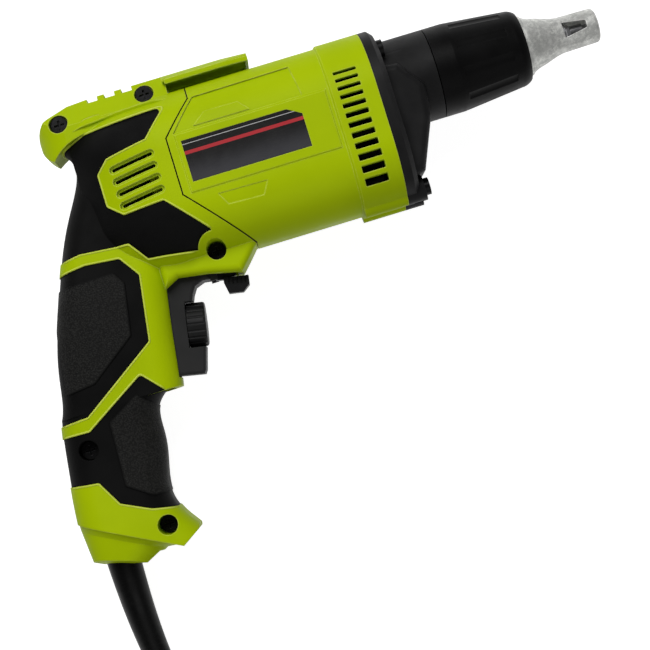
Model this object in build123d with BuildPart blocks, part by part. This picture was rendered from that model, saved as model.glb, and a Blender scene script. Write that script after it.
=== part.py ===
from build123d import *
import os
from math import atan2, ceil, cos, radians, sin, sqrt, tan

# Drywall screwdriver: clamshell pistol grip with soft overmoulds, series motor, spur reduction,
# push clutch, depth-setting nose and mains lead.
# Frame: +X along the spindle to the nose, +Y to the tool's top, +Z to its right side.
# The origin is on the spindle axis, in the end face of the nose locator. Sizes are millimetres.
# Unless a comment says otherwise, x below is measured forward from the joint plane between
# motor housing and gear case, and y and z from the spindle axis.

# Clearances
RUNNING = 0.08  # radial play of a shaft in its bearing
SLIDING = 0.3  # play of a moving piece in a casing
SEATED = 0.05  # play of a piece that is fixed in its seat
SEAM_GAP = 0.25  # open line between motor housing and handle shells
OVERCUT = 1.0  # how far a cut runs past the skin

# Lengthwise layout
NOSE_REACH = 104.0  # joint plane to nose face
JOINT_X = -NOSE_REACH
SIDE = Plane(origin=(JOINT_X, 0, 0))

# Barrel: the motor housing's section, carried on by the handle shells
BARREL_WIDTH = 62.8
BARREL_HEIGHT = 75.4
BARREL_CORNER = 26.0
BARREL_Y = -13.5
BARREL_TOP = BARREL_Y + BARREL_HEIGHT / 2
BARREL_BOTTOM = BARREL_Y - BARREL_HEIGHT / 2
HOUSING_WALL = 2.6
SHELL_WALL = 3.2
HALF_WIDTH = 32.0  # mid plane to the raised side panels, which the tool lies on
PANEL_REAR = -88.0
PANEL_FRONT = -22.0
PANEL_TOP = 1.5
PANEL_BOTTOM = -23.5
PANEL_BEVEL = 45.0
RING_LENGTH = 20.0  # thicker front ring of the motor housing
RING_PROUD = 1.0
RING_BEVEL = 0.8

# Seam between motor housing and handle shells, from top to bottom
SEAM_TOP_X = -78.5
SEAM_KNEE_Y = 16.5
SEAM_BACK_X = -92.0
SEAM_FOOT_X = -68.0
SEAM_FOOT_Y = -50.0
LAP = 5.0  # tongue of the housing inside the shells
LAP_WALL = 2.0
SEAT_RIB = 5.0  # ribs that hold the stator
BRIDGE_HEIGHT = 20.0  # carries the rear bearing and the brush holders
BRIDGE_THICK = 5.0
HUB_WALL = 2.5
HUB_FLOOR = 1.2

# Shallow fields in the barrel's sides, in side view
UPPER_FIELD = [
    (-76.5, 16.6),
    (-33.4, 17.1),
    (-31.6, 2.4),
    (-88.6, 2.4),
]
UPPER_BADGE = [
    (-79.5, 3.4),
    (-73.3, 8.4),
    (-58.6, 8.2),
    (-54.5, 3.4),
]
LOWER_FIELD = [
    (-77.6, -27.3),
    (-56.0, -27.8),
    (-59.2, -33.3),
    (-74.7, -32.7),
]
FIELD_DEPTH = 0.6
BADGE_DEPTH = 0.25

# Air slots
VENT_COUNT = 12
VENT_TOP_Y = 7.2
VENT_PITCH = 3.4
VENT_PITCH_GROWTH = 0.19
VENT_HEIGHT = 1.4
VENT_HEIGHT_GROWTH = 0.17
VENT_CORNER = 0.5
VENT_REAR = -16.5
VENT_FRONT = -6.3
LOUVRE_COUNT = 4
LOUVRE_TOP_Y = -3.2
LOUVRE_PITCH = 5.3
LOUVRE_HEIGHT = 1.5
LOUVRE_BORDER = 1.0  # width of the dished channel round each slot
LOUVRE_REAR = -118.2
LOUVRE_FRONT = -99.5
LOUVRE_SLOPE = 5.0

# Rating plate
PLATE_REAR = -86.2
PLATE_FRONT = -33.8
PLATE_TOP = -1.6
PLATE_BOTTOM = -19.5
PLATE_CUT_LENGTH = 6.0
PLATE_CUT_HEIGHT = 3.5
PLATE_THICKNESS = 0.4
PLATE_RECESS = 0.3

# Rear of the handle shells: x, top, bottom, half width and corner radius of each cross section
TAIL_START = -97.0
TAIL_SECTIONS = [
    (-112.0, 22.8, -50.0, 27.0, 22.0),
    (-124.0, 20.5, -44.0, 21.0, 17.0),
    (-134.0, 17.5, -34.0, 13.0, 11.0),
]
# Grip above and below the guard beak: y, rear, front, half width and corner radius of each slice
BEAK_Y = -99.5
UPPER_GRIP = [
    (14.0, -140.5, -112.0, 11.5, 8.0),
    (0.0, -135.8, -110.0, 13.5, 11.0),
    (-12.0, -141.8, -108.0, 15.5, 12.0),
    (-30.0, -150.8, -107.0, 17.0, 12.0),
    (-55.0, -160.2, -110.0, 17.5, 12.0),
    (-80.0, -167.4, -114.0, 17.3, 12.0),
    (BEAK_Y, -172.0, -116.9, 17.0, 12.0),
]
LOWER_GRIP = [
    (BEAK_Y, -172.0, -124.2, 17.0, 13.0),
    (-115.0, -174.6, -130.5, 16.6, 13.0),
    (-130.0, -176.4, -132.7, 17.2, 13.0),
    (-145.0, -177.5, -134.0, 18.8, 13.0),
    (-158.0, -177.0, -127.0, 20.0, 13.0),
    (-170.0, -175.5, -126.0, 20.0, 13.0),
]
# Bottom of the base, from rear to front
BASE_LINE = [
    (-178.5, -155.0),
    (-176.0, -161.0),
    (-172.0, -163.6),
    (-153.0, -168.0),
    (-146.5, -164.8),
    (-137.0, -166.5),
    (-127.3, -160.3),
    (-126.0, -156.5),
]
CREASE_POINT = (-156.5, -154.5)  # on the line where the base steps in to the cord sleeve
CREASE_SLOPE = -27.0  # slope of that line in degrees
# Sleeve below the crease: depth, rear, front, half width and corner radius of each section
SLEEVE_SECTIONS = [
    (0.0, -23.0, 22.8, 18.7, 14.5),
    (2.6, -21.8, 16.4, 16.4, 13.5),
    (19.5, -11.0, 5.0, 12.5, 7.9),
]
RIM_POINT = (-173.7, -163.4)  # on the sleeve's lower end, in the mid plane
RIM_FALL = 17.5  # fall of that end to the front, in degrees
RIM_SLOPE = 12.0  # rise of its rim to both sides, in degrees
CORD_WELL = 8.0  # radius of the passage from the hollow to the cord guard

# Chin of the shells over the reversing lever: bottom line from rear to front
CHIN_LINE = [(-111.5, -58.0), (-105.0, -54.8), (-92.0, -56.8), (-77.5, -60.2)]
CHIN_TIP = (-73.0, -55.5)
CHIN_TOP = -42.0
CHIN_HALF_WIDTH = 15.5
CHIN_ROUND = 3.0

# Top rail with the belt hook
RAIL_TOP = 32.4
RAIL_CREASE = 21.8
RAIL_LOWER = 17.0
RAIL_TOP_HALF = 5.5
RAIL_HALF_WIDTH = 15.0
RAIL_REAR = -146.2
RAIL_FRONT = -86.0
HORN_LOW = (-141.5, 9.0)  # rear end of the rail, from its lower tip round to its back
HORN_Y = 17.5
HORN_HIGH = (-139.5, 28.2)
RAIL_BACK = (-130.0, 31.6)
RAIL_BEND = (-122.0, 16.6)
RAIL_HOLLOW = (-134.0, 14.0)
PLAN_SHOULDER = (-126.0, 15.0)  # where the rail starts to round off, seen from above
PLAN_ROUND = (-142.5, 9.5)
NOTCH_COUNT = 3
NOTCH_FIRST = -118.5
NOTCH_PITCH = 7.8
NOTCH_LENGTH = 4.6
NOTCH_DEPTH = 2.2
HOOK_TIP = -48.5
HOOK_SLOPE = -60.0  # where the hook's top starts to fall
HOOK_TIP_TOP = 31.0
HOOK_UNDER = 28.6
HOOK_EDGE = 1.0  # thickness along the hook's rims
HOOK_HALF_WIDTH = 13.0
HOOK_TIP_HALF = 11.0

# Soft grips: outlines in side view, each left to run past the edge of the handle
PAD_UPPER = [
    (-165.0, 6.5),
    (-141.0, 6.8),
    (-136.5, 12.2),
    (-126.0, 15.8),
    (-89.4, 16.2),
    (-100.6, 4.2),
    (-119.2, 1.8),
    (-125.0, -3.4),
    (-125.0, -17.8),
    (-118.7, -23.6),
    (-100.6, -23.2),
    (-84.5, -40.7),
    (-91.0, -46.9),
    (-114.3, -43.7),
    (-120.5, -35.3),
    (-142.0, -33.3),
    (-165.0, -35.6),
]
PAD_REAR = [
    (-175.0, -41.5),
    (-141.3, -38.7),
    (-126.6, -40.1),
    (-120.4, -49.1),
    (-124.6, -77.6),
    (-158.9, -101.1),
    (-185.0, -102.4),
]
PAD_LOWER = [
    (-185.0, -106.6),
    (-159.9, -107.5),
    (-132.4, -90.3),
    (-123.0, -100.6),
    (-115.0, -104.0),
    (-115.0, -149.6),
    (-132.4, -148.8),
    (-143.7, -146.2),
    (-156.0, -140.3),
    (-162.3, -129.3),
    (-185.0, -126.6),
]
# Raised inner panels of the two handle grips
PANEL_OF_REAR = [
    (-160.0, -45.5),
    (-130.5, -45.0),
    (-127.2, -50.5),
    (-131.0, -73.0),
    (-152.0, -88.5),
    (-166.0, -90.0),
]
PANEL_OF_LOWER = [
    (-151.0, -105.8),
    (-136.5, -97.5),
    (-129.5, -104.0),
    (-120.0, -142.0),
    (-141.5, -141.2),
    (-152.0, -134.0),
]
PAD_CORNER = 1.6
PAD_DEPTH = 1.6  # recess in the shells
PAD_SUNK = 0.55  # face of the pad below the shell's face
PAD_PANEL_SUNK = 0.1

# Shell screws, in side view
SHELL_SCREWS = [
    (-135.2, 24.2),
    (-96.0, 26.4),
    (-85.5, -48.3),
    (-138.8, -25.6),
    (-162.8, -114.8),
    (-139.3, -154.8),
]
SCREW_RECESS = 8.6
SCREW_BOSS = 12.0
SCREW_HEAD = 7.6
SCREW_HEAD_HEIGHT = 2.4
SCREW_SHANK = 4.0
SCREW_SEAT_Z = 6.0  # under the head
SCREW_REACH = 9.0  # into the left shell
SCREW_BORE_PLAY = 0.15
CROSS_LENGTH = 4.4
CROSS_WIDTH = 1.0
CROSS_DEPTH = 1.2

RIB = 2.0
CLAMP_SPREAD = 7.2
CLAMP_Y = -139.8
CLAMP_POST = 2.9
CLAMP_SCREW = 1.5
CLAMP_SCREW_REACH = 12.0
CLAMP_THICK = 3.0
CLAMP_SLOT = 3.4
CLAMP_SLOT_WIDTH = 0.5

# Motor
MOTOR_Y = -16.0
STATOR_RADIUS = 27.5
STATOR_BORE = 18.2
STATOR_REAR = -68.0
STATOR_FRONT = -32.0
POLE_POCKET = 24.6
POLE_HALF_ANGLE = 36.0
COIL_OVERHANG = 7.0
COIL_PLAY = 0.4
COIL_ANGLE_PLAY = 3.0
ARMATURE_RADIUS = 17.5
ARMATURE_SLOTS = 12
SLOT_WIDTH = 3.0
SLOT_DEPTH = 6.0
WINDING_OVERHANG = 7.0
WINDING_CLEAR = 1.5  # winding heads to the shaft
WINDING_SUNK = 1.0  # winding below the core's skin
WINDING_SHOULDER = 0.6  # share of the overhang where the heads start to round off
WINDING_CROWN = 0.7  # share of their radius left at the end
SHAFT_RADIUS = 4.0
JOURNAL_RADIUS = 3.5
COMMUTATOR_RADIUS = 11.0
COMMUTATOR_REAR = -91.0
COMMUTATOR_FRONT = -81.0
COMMUTATOR_BARS = 20
BAR_SLOT_DEPTH = 0.8
BAR_SLOT_WIDTH = 0.5
BEARING_RADIUS = 9.5
BEARING_WIDTH = 6.0
RACE = 1.6
SHIELD_SUNK = 0.6
REAR_BEARING_X = -103.0
FRONT_BEARING_X = -3.0
BRUSH_WIDTH = 6.0
BRUSH_HEIGHT = 10.0
BRUSH_OUTER = 22.0
BRUSH_BARE = 1.5  # brush between commutator and holder
BRUSH_LAP = 2.0  # brush below the commutator's skin, before its end is turned to fit
HOLDER_WALL = 1.5
HOLDER_OUTER = 25.8
FAN_RADIUS = 26.0
FAN_REAR = -15.0
FAN_FRONT = -5.2
FAN_BLADES = 11
FAN_HUB_WALL = 4.0
FAN_ROOT = 3.5  # shaft to the foot of the blades
FAN_DISC = 1.6
FAN_BLADE = 1.4
BAFFLE_REAR = -22.0
BAFFLE_THICKNESS = 2.0
BAFFLE_BORE = 20.0

# Spur reduction
MODULE = 0.8
PINION_TEETH = 7
GEAR_TEETH = 33
GEAR_REAR = 6.0
GEAR_FRONT = 13.0
PINION_FRONT = 15.0
PINION_TIP = 3.4
PINION_ROOT = 1.9
PINION_FOOT = 1.2
PINION_CREST = 0.55
GEAR_FOOT = 1.3
GEAR_CREST = 0.4
GEAR_TIP = MODULE * GEAR_TEETH / 2 + 0.62
GEAR_ROOT = MODULE * GEAR_TEETH / 2 - 0.95

# Gear case
FLANGE = 6.0
FLANGE_BEVEL = 2.0
PLATE_PLAY = 4.0  # bearing plate inside the flange's rim
BEARING_PLATE = 4.0
NECK_RADIUS = 20.0
NECK_END = 28.0
SNOUT_RADIUS = 14.5
SNOUT_END = 52.0
BULGE = [(3.0, 7.0), (12.5, 5.8), (21.3, -6.2), (19.8, -20.0), (10.5, -42.0), (3.0, -44.0)]
BULGE_HALF_WIDTH = 22.5
BULGE_ROUND = 3.5
CASE_SCREWS = [(14.0, 19.5), (14.0, -19.5), (-48.0, 10.5), (-48.0, -10.5)]
LUG_RADIUS = 5.5
LUG_REAR = -19.5
LUG_FRONT = 8.5
CASE_SCREW_SHANK = 4.0
GEAR_ROOM = 1.6  # air around gears in the case

# Spindle line
TAIL_RADIUS = 3.5  # spindle's rear journal
SPINDLE_RADIUS = 7.0
SPINDLE_END = 52.0
SPINDLE_TAIL = 0.5
SPINDLE_SEAT = 5.0
DOG_INNER = 7.4
DOG_OUTER = 11.0
DOG_COUNT = 3
DOG_ANGLE = 38.0
DOG_HEIGHT = 2.2
CLUTCH_PLATE = 2.4
CLUTCH_REST = 5.6  # gear face to clutch plate when the spindle is out
BUSH_RADIUS = 10.5
BUSH_REAR = 22.0
BUSH_FRONT = 34.0
SEAL_LENGTH = 2.6
SNOUT_BORE = 9.0
REAR_BUSH_RADIUS = 5.0
SPRING_WIRE = 0.8
SPRING_RADIUS = 5.4
SPRING_TURNS = 2.5
HEX = 6.35
HEX_PLAY = 0.1
HEX_DEPTH = 24.0
CLIP_X = 44.0
CLIP_WIDTH = 1.6
CLIP_DEPTH = 0.7
HOLDER_RADIUS = 5.2
HOLDER_END = 90.0
HOLDER_BEVEL = 0.8
BIT_LENGTH = 25.0
BIT_DEPTH = 12.0
BIT_BACK = 0.5  # bit tip behind the nose face
BIT_SHAFT = 2.6
BIT_HEX = 13.0
BIT_CONE = 6.0
BIT_POINT = 0.9
BIT_CORE = 0.9

# Depth collar and nose locator
COLLAR_GAP = 0.4
COLLAR_RADIUS = 20.0
COLLAR_STRAIGHT = 9.0
COLLAR_FRONT_RADIUS = 17.2
COLLAR_END = 69.5
COLLAR_ROUND = 4.5
COLLAR_ARC = (0.75, 0.2)  # shares of the round, forward and inward, at the middle of its arc
COLLAR_LIP = 1.8
COLLAR_FLUTES = 10
FLUTE_RADIUS = 7.0
FLUTE_DEPTH = 0.4
FLUTE_REAR = 40.0
FLUTE_FRONT = 63.0
SKIRT_RADIUS = 13.4
SKIRT_REAR = 54.5
SKIRT_WALL = 2.0
LOCATOR_TIP = 7.7
LOCATOR_BORE = 5.8
LOCATOR_WAIST = 8.0
LOCATOR_MID = (77.5, 10.6)
WAIST_HEADING = (-1.0, 0.03)  # directions of the cone's curve at its two ends
FLARE_HEADING = (-0.6, 0.8)
LOCATOR_THROAT = 84.0
TIP_ROUND = 1.5
TIP_ARC = 0.3  # share of the round at the middle of its arc
WINDOW_REAR = 88.0
WINDOW_FRONT = 98.5
WINDOW_CENTRE_Y = 0.6
WINDOW_REAR_HEIGHT = 7.0
WINDOW_FRONT_HEIGHT = 3.4
WINDOW_ROUND = 0.6

# Trigger group: its own plane, with local x along the pull and local y up the trigger's face
TRIGGER_POINT = (-103.5, -75.0)
TRIGGER_RAKE = 10.0
TRIGGER_HALF_WIDTH = 8.7
TRIGGER_REAR = -20.0
TRIGGER_LOW = -22.3
TRIGGER_HIGH = 21.7
TRIGGER_ROUND = 1.5
TRIGGER_WALL = 2.0
TRIGGER_HOLLOW = -7.0  # front of the hollow in its back
TRIGGER_LINE = [
    (7.85, TRIGGER_HIGH),
    (8.5, 17.8),
    (5.5, 17.7),
    (1.8, 15.6),
    (0.4, 12.3),
    (-0.2, 9.6),
    (3.4, -10.6),
    (2.2, -20.9),
    (1.45, -22.6),
    (-9.6, TRIGGER_LOW),
]
BAY_FRONT = 21.0
BAY_TOP = 30.0
DIAL_RADIUS = 9.8
DIAL_CENTRE = -0.8
DIAL_BACK = -3.6
DIAL_FRONT = 4.6
DIAL_FLUTES = 20
DIAL_FLUTE = 0.7
DIAL_EDGE = 1.2
DIAL_CAP = 2.0
AXLE_RADIUS = 2.5
STEM_RADIUS = 2.8
STEM_REAR = -28.0
SWITCH_FRONT = -27.0
SWITCH_REAR = -48.0
SWITCH_LOW = -16.0
SWITCH_HALF_WIDTH = 8.5
SWITCH_BORE = -35.0
TERMINAL = 5.0
TERMINAL_THICK = 1.0
TERMINAL_HALF = 2.0
LEDGE_LOW = 23.2
LEDGE_HIGH = 26.5
LEDGE_FRONT = -0.5
PIVOT_A = -4.0  # lever pivot along the pull direction
PIVOT_RADIUS = 1.8
LEVER_HALF_WIDTH = 3.0
LEVER_HUB = 4.0
LEVER_LOW = 26.8
LEVER_HIGH = 29.3
LEVER_LINE = [
    (-8.0, LEVER_HIGH),
    (2.5, LEVER_HIGH),
    (12.0, 24.0),
    (15.0, 18.5),
    (15.0, 17.3),
    (10.8, 17.3),
    (10.6, 21.4),
    (1.8, LEVER_LOW),
    (-8.0, LEVER_LOW),
]
KNOB_REAR = 14.2
KNOB_FRONT = 25.2
KNOB_LOW = 11.0
KNOB_CREASE = 14.2  # below it the knob's sides lean in
KNOB_HIGH = 18.0
KNOB_HALF_WIDTH = 5.0
KNOB_TOE = 3.4
KNOB_HEEL = (15.9, 15.6)  # cut of the lower rear corner
KNOB_BEAK = (22.3, 14.0)  # cut of the lower front corner
KNOB_RIBS = 5
RIB_PITCH = 1.8
RIB_GROOVE = 0.6
BUTTON_POINT = (-121.0, -58.0)
BUTTON_RADIUS = 4.5
BUTTON_OUT = 19.6
BUTTON_IN = 14.0
BUTTON_FLANGE = 1.0
BUTTON_FLANGE_THICK = 1.5
BUTTON_EDGE = 0.8

# Cord
CORD_RADIUS = 3.5
GUARD_X = -163.5
GUARD_RADIUS = 7.5
GUARD_END_RADIUS = 5.4
GUARD_FLANGE = 9.6
GUARD_TOP_Y = -157.5
GUARD_NECK_Y = -161.5
FLOOR_Z = -HALF_WIDTH
GUARD_SECTIONS = 4
ROUTE_SHARE = 0.45  # of the shorter run, taken by an arc of the cord
# Routes of the cord, chosen by hand: inside base and guard, guard to coil, and coil to plug
INNER_ROUTE = [
    (GUARD_X, -130.0, 0.0),
    (GUARD_X, -170.0, 0.0),
    (-163.6, -188.0, -4.0),
    (-162.9, -205.5, -10.0),
    (-161.0, -223.0, -17.0),
]
LEAD_ROUTE = [
    (-161.0, -223.0, -17.0),
    (-158.91, -242.25, -24.7),
    (-157.6, -266.2, -27.5),
    (-157.6, -289.0, -27.5),
]
TAIL_ROUTE = [
    (-92.0, -356.5, -19.9),
    (-74.0, -356.5, -19.9),
    (-54.0, -355.5, -25.0),
    (-33.0, -353.0, -28.0),
    (-13.0, -348.5, -24.5),
    (5.0, -343.0, -23.0),
    (19.0, -338.0, -23.0),
]
COIL_X = -99.0
COIL_Y = -296.0
COIL_Z = -27.5
COIL_START = 180.0
COIL_QUARTERS = 33
COIL_REVERSE = 4.0  # turns wound inward before the coil climbs and winds outward
COIL_INNER = 28.2
COIL_PITCH = 7.6
COIL_CLIMB = 0.5
COIL_SIDES = 8
HEADING_STEP = 1 / 32  # turns to either side of a point, for its direction
TIE_ANGLE = 0.0
TIE_WIDTH = 10.0
TIE_THICK = 0.8
TIE_PLAY = 0.9
PLUG_WIDTH = 34.0
PLUG_THICK = 18.0
PLUG_CORNER = 8.9
PLUG_NECK = 16.0
PLUG_NECK_START = 5.0
PLUG_NECK_END = 6.5
PLUG_REAR_WIDTH = 20.0
PLUG_REAR_THICK = 15.0
PLUG_REAR_CORNER = 7.0
PLUG_SHOULDER = 14.0
PLUG_DEPTH = 16.0
PIN_RADIUS = 2.4
PIN_LENGTH = 19.0
PIN_SPREAD = 9.5

# Places that follow from the sizes above
BRUSH_X = (COMMUTATOR_REAR + COMMUTATOR_FRONT) / 2
GEAR_ROOM_END = GEAR_FRONT + DOG_HEIGHT + GEAR_ROOM
CLUTCH_REAR = GEAR_FRONT + CLUTCH_REST
COLLAR_REAR = NECK_END + COLLAR_GAP
COLLAR_SLOPE_END = COLLAR_END - COLLAR_ROUND
COLLAR_MOUTH = SKIRT_RADIUS + SLIDING
LAP_INSET = SHELL_WALL + SEATED
REACH = 2 * HALF_WIDTH  # past everything, sideways
FAR = 4 * NOSE_REACH  # past everything, lengthwise


def station(x):
    """Plane across the tool: its own x is +Y and its own y is +Z."""
    return Plane.YZ.offset(JOINT_X + x)


def level(y):
    """Plane across the handle: its own x is +X and its own y is +Z."""
    return Plane(origin=(JOINT_X, y, 0), x_dir=(1, 0, 0), z_dir=(0, -1, 0))


def pull_plane(z=0.0):
    """Side view in the trigger's own directions, z mm right of the mid plane."""
    x, y = TRIGGER_POINT
    rake = radians(TRIGGER_RAKE)
    return Plane(origin=(JOINT_X + x, y, z), x_dir=(cos(rake), -sin(rake), 0), z_dir=(0, 0, 1))


def outline(corners):
    """A closed face with straight sides, in the open sketch."""
    with BuildLine() as edge:
        Polyline(*corners, close=True)
    make_face(edge.edges())


def disc(radius, y=0.0, z=0.0, mode=Mode.ADD):
    """A circle about a lengthwise axis, in the open sketch of a station."""
    with Locations((y, z)):
        Circle(radius, mode=mode)


def bar(rear, front, radius, y=0.0, z=0.0, mode=Mode.ADD):
    """A lengthwise round bar, in the open part."""
    with BuildSketch(station(rear)) as face:
        disc(radius, y, z)
    extrude(face.sketch, amount=front - rear, mode=mode)


def tube(rear, front, radius, bore, y=0.0, z=0.0):
    """A lengthwise tube, in the open part."""
    with BuildSketch(station(rear)) as face:
        disc(radius, y, z)
        disc(bore, y, z, Mode.SUBTRACT)
    extrude(face.sketch, amount=front - rear)


def turn(profile, y=0.0, mode=Mode.ADD):
    """Turn corners given as (x, radius) about a lengthwise axis, in the open part."""
    with BuildSketch(Plane(origin=(JOINT_X, y, 0))) as face:
        outline(profile)
    revolve(face.sketch, axis=Axis((JOINT_X, y, 0), (1, 0, 0)), mode=mode)


def sector(inner, outer, start, end):
    """A piece of a ring about the motor axis, in the open sketch of a station. Angles are from +Y."""
    with BuildLine() as edge:
        far = CenterArc((MOTOR_Y, 0), outer, start, end - start)
        near = CenterArc((MOTOR_Y, 0), inner, start, end - start)
        Line(far @ 0, near @ 0)
        Line(far @ 1, near @ 1)
    make_face(edge.edges())


def swept_box(corners, low_z, high_z, mode=Mode.ADD):
    """Extrude corners given in the trigger's own directions between two distances from the mid plane."""
    with BuildSketch(pull_plane(low_z)) as face:
        outline(corners)
    extrude(face.sketch, amount=high_z - low_z, mode=mode)


def block(rear, low, front, high):
    """Corners of a rectangle."""
    return [(rear, low), (front, low), (front, high), (rear, high)]


def barrel_face(inset=0.0):
    """The barrel's section, in the open sketch of a station."""
    with Locations((BARREL_Y, 0)):
        RectangleRounded(BARREL_HEIGHT - 2 * inset, BARREL_WIDTH - 2 * inset, BARREL_CORNER - inset)


def barrel_ring(outer_inset, inner_inset):
    """A wall along the barrel's section, in the open sketch of a station."""
    barrel_face(outer_inset)
    with Locations((BARREL_Y, 0)):
        RectangleRounded(
            BARREL_HEIGHT - 2 * inner_inset,
            BARREL_WIDTH - 2 * inner_inset,
            BARREL_CORNER - inner_inset,
            mode=Mode.SUBTRACT,
        )


def seam(shift=0.0):
    """The seam's corners in side view, from far above to far below, moved along the tool."""
    return [
        (SEAM_TOP_X + shift, 2 * BARREL_TOP),
        (SEAM_TOP_X + shift, SEAM_KNEE_Y),
        (SEAM_BACK_X + shift, PANEL_TOP),
        (SEAM_BACK_X + shift, PANEL_BOTTOM),
        (SEAM_FOOT_X + shift, SEAM_FOOT_Y),
        (SEAM_FOOT_X + shift, 2 * BARREL_BOTTOM),
    ]


def seam_band(rear_shift, front_shift):
    """What lies between two moved copies of the seam, in side view, in the open sketch."""
    outline(seam(rear_shift) + seam(front_shift)[::-1])


def louvre_faces(border=0.0):
    """The rear louvres in side view, widened by a border, in the open sketch."""
    middle = (LOUVRE_REAR + LOUVRE_FRONT) / 2
    for number in range(LOUVRE_COUNT):
        place = Location((middle, LOUVRE_TOP_Y - number * LOUVRE_PITCH, 0), (0, 0, LOUVRE_SLOPE))
        with Locations(place):
            SlotOverall(LOUVRE_FRONT - LOUVRE_REAR + 2 * border, LOUVRE_HEIGHT + 2 * border)


def skin_cut(corners, depth):
    """What a shallow field in side view takes from the barrel's skin, on both sides."""
    with BuildPart() as cut:
        with BuildSketch(station(SEAM_BACK_X)):
            barrel_ring(-OVERCUT, depth)
        extrude(amount=-SEAM_BACK_X)
        with BuildSketch(SIDE):
            outline(corners)
        extrude(amount=REACH, both=True, mode=Mode.INTERSECT)
    return cut.part


def handle_form(inset):
    """Rear body and grip in one solid, inset from the outer skin."""
    with BuildPart() as form:
        with BuildSketch(station(TAIL_START)):
            barrel_face(inset)
        extrude(amount=SEAM_FOOT_X + LAP - TAIL_START)
        with BuildSketch(station(TAIL_START)):
            barrel_face(inset)
        for x, top, bottom, half_width, corner in TAIL_SECTIONS:
            with BuildSketch(station(x)):
                with Locations(((top + bottom) / 2, 0)):
                    RectangleRounded(top - bottom - 2 * inset, 2 * (half_width - inset), corner - inset)
        loft()
        for slices in (UPPER_GRIP, LOWER_GRIP):
            for y, rear, front, half_width, corner in slices:
                with BuildSketch(level(y)):
                    with Locations(((rear + front) / 2, 0)):
                        length = front - rear - 2 * inset
                        RectangleRounded(length, 2 * (half_width - inset), corner - inset)
            loft()
    return form.part


def side_face(z, side):
    """Side view from outside, z mm from the mid plane. Its own y is up on the right, down on the left."""
    return Plane(origin=(JOINT_X, 0, side * z), x_dir=(1, 0, 0), z_dir=(0, 0, side))


def plate_corners(play):
    """Outline of the rating plate, with its upper front corner cut."""
    return [
        (PLATE_REAR - play, PLATE_BOTTOM - play),
        (PLATE_FRONT + play, PLATE_BOTTOM - play),
        (PLATE_FRONT + play, PLATE_TOP - PLATE_CUT_HEIGHT),
        (PLATE_FRONT - PLATE_CUT_LENGTH, PLATE_TOP + play),
        (PLATE_REAR - play, PLATE_TOP + play),
    ]


def tooth(root, tip, foot, crest):
    """One straight-sided tooth, pointing along its own x."""
    sunk = root - foot / 2
    return [
        (sunk, -foot / 2),
        (root, -foot / 2),
        (tip, -crest / 2),
        (tip, crest / 2),
        (root, foot / 2),
        (sunk, foot / 2),
    ]


def dogs(start):
    """Clutch dogs as pieces of a ring about the spindle, in the open sketch of a station."""
    for number in range(DOG_COUNT):
        middle = start + number * 360 / DOG_COUNT
        with BuildLine() as edge:
            far = CenterArc((0, 0), DOG_OUTER, middle - DOG_ANGLE / 2, DOG_ANGLE)
            near = CenterArc((0, 0), DOG_INNER, middle - DOG_ANGLE / 2, DOG_ANGLE)
            Line(far @ 0, near @ 0)
            Line(far @ 1, near @ 1)
        make_face(edge.edges())


def pull_axis_plane(a, b):
    """Plane across the pull direction, at a point of the trigger's own directions."""
    view = pull_plane()
    return Plane(origin=view.from_local_coords((a, b, 0)), x_dir=(0, 0, 1), z_dir=view.x_dir)


def lever_axis_plane(b):
    """Plane across the lever's pivot, at a height of the trigger's own directions."""
    view = pull_plane()
    return Plane(origin=view.from_local_coords((PIVOT_A, b, 0)), x_dir=(0, 0, 1), z_dir=view.y_dir)


def cross_recess(mode=Mode.ADD):
    """Two crossed bars, in the open sketch."""
    Rectangle(CROSS_LENGTH, CROSS_WIDTH, mode=mode)
    Rectangle(CROSS_WIDTH, CROSS_LENGTH, mode=mode)


def cord_route(points):
    """Straight runs joined by arcs as large as the runs allow, in the open line."""
    spots = [Vector(JOINT_X + x, y, z) for x, y, z in points]
    radii = []
    for before, here, after in zip(spots, spots[1:], spots[2:]):
        half_turn = radians((here - before).get_angle(after - here)) / 2
        shorter = min((here - before).length, (after - here).length)
        radii.append(ROUTE_SHARE * shorter / tan(half_turn))
    print("cord radii", [round(radius, 1) for radius in radii])
    return FilletPolyline(*spots, radius=radii)


def coil_reach(turns):
    """Radius of the coil's centre line after so many turns."""
    return COIL_INNER + COIL_PITCH * abs(turns - COIL_REVERSE)


def coil_point(turns):
    """Point of the coil's centre line after so many turns."""
    angle = radians(COIL_START + 360 * turns)
    rise = min(max((turns - COIL_REVERSE) / COIL_CLIMB + 0.5, 0), 1)
    return Vector(
        JOINT_X + COIL_X + coil_reach(turns) * cos(angle),
        COIL_Y + coil_reach(turns) * sin(angle),
        COIL_Z + COIL_PITCH * rise,
    )


def coil_heading(turns):
    """Direction of the coil's centre line after so many turns; its ends are square to the radius."""
    if turns <= 0 or turns >= COIL_QUARTERS / 4:
        angle = radians(COIL_START + 360 * turns)
        return Vector(-sin(angle), cos(angle), 0)
    return (coil_point(turns + HEADING_STEP) - coil_point(turns - HEADING_STEP)).normalized()


def biarc(start, start_heading, end, end_heading):
    """Two tangent arcs between two points with given directions, in the open line."""
    chord = end - start
    both = start_heading + end_heading
    spread = 2 * (1 - start_heading.dot(end_heading))
    along = chord.dot(both)
    reach = (sqrt(along**2 + spread * chord.dot(chord)) - along) / spread
    near = start + start_heading * reach
    far = end - end_heading * reach
    middle = (near + far) * 0.5
    TangentArc(start, middle, tangent=start_heading)
    TangentArc(middle, end, tangent=(far - near).normalized())


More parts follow.
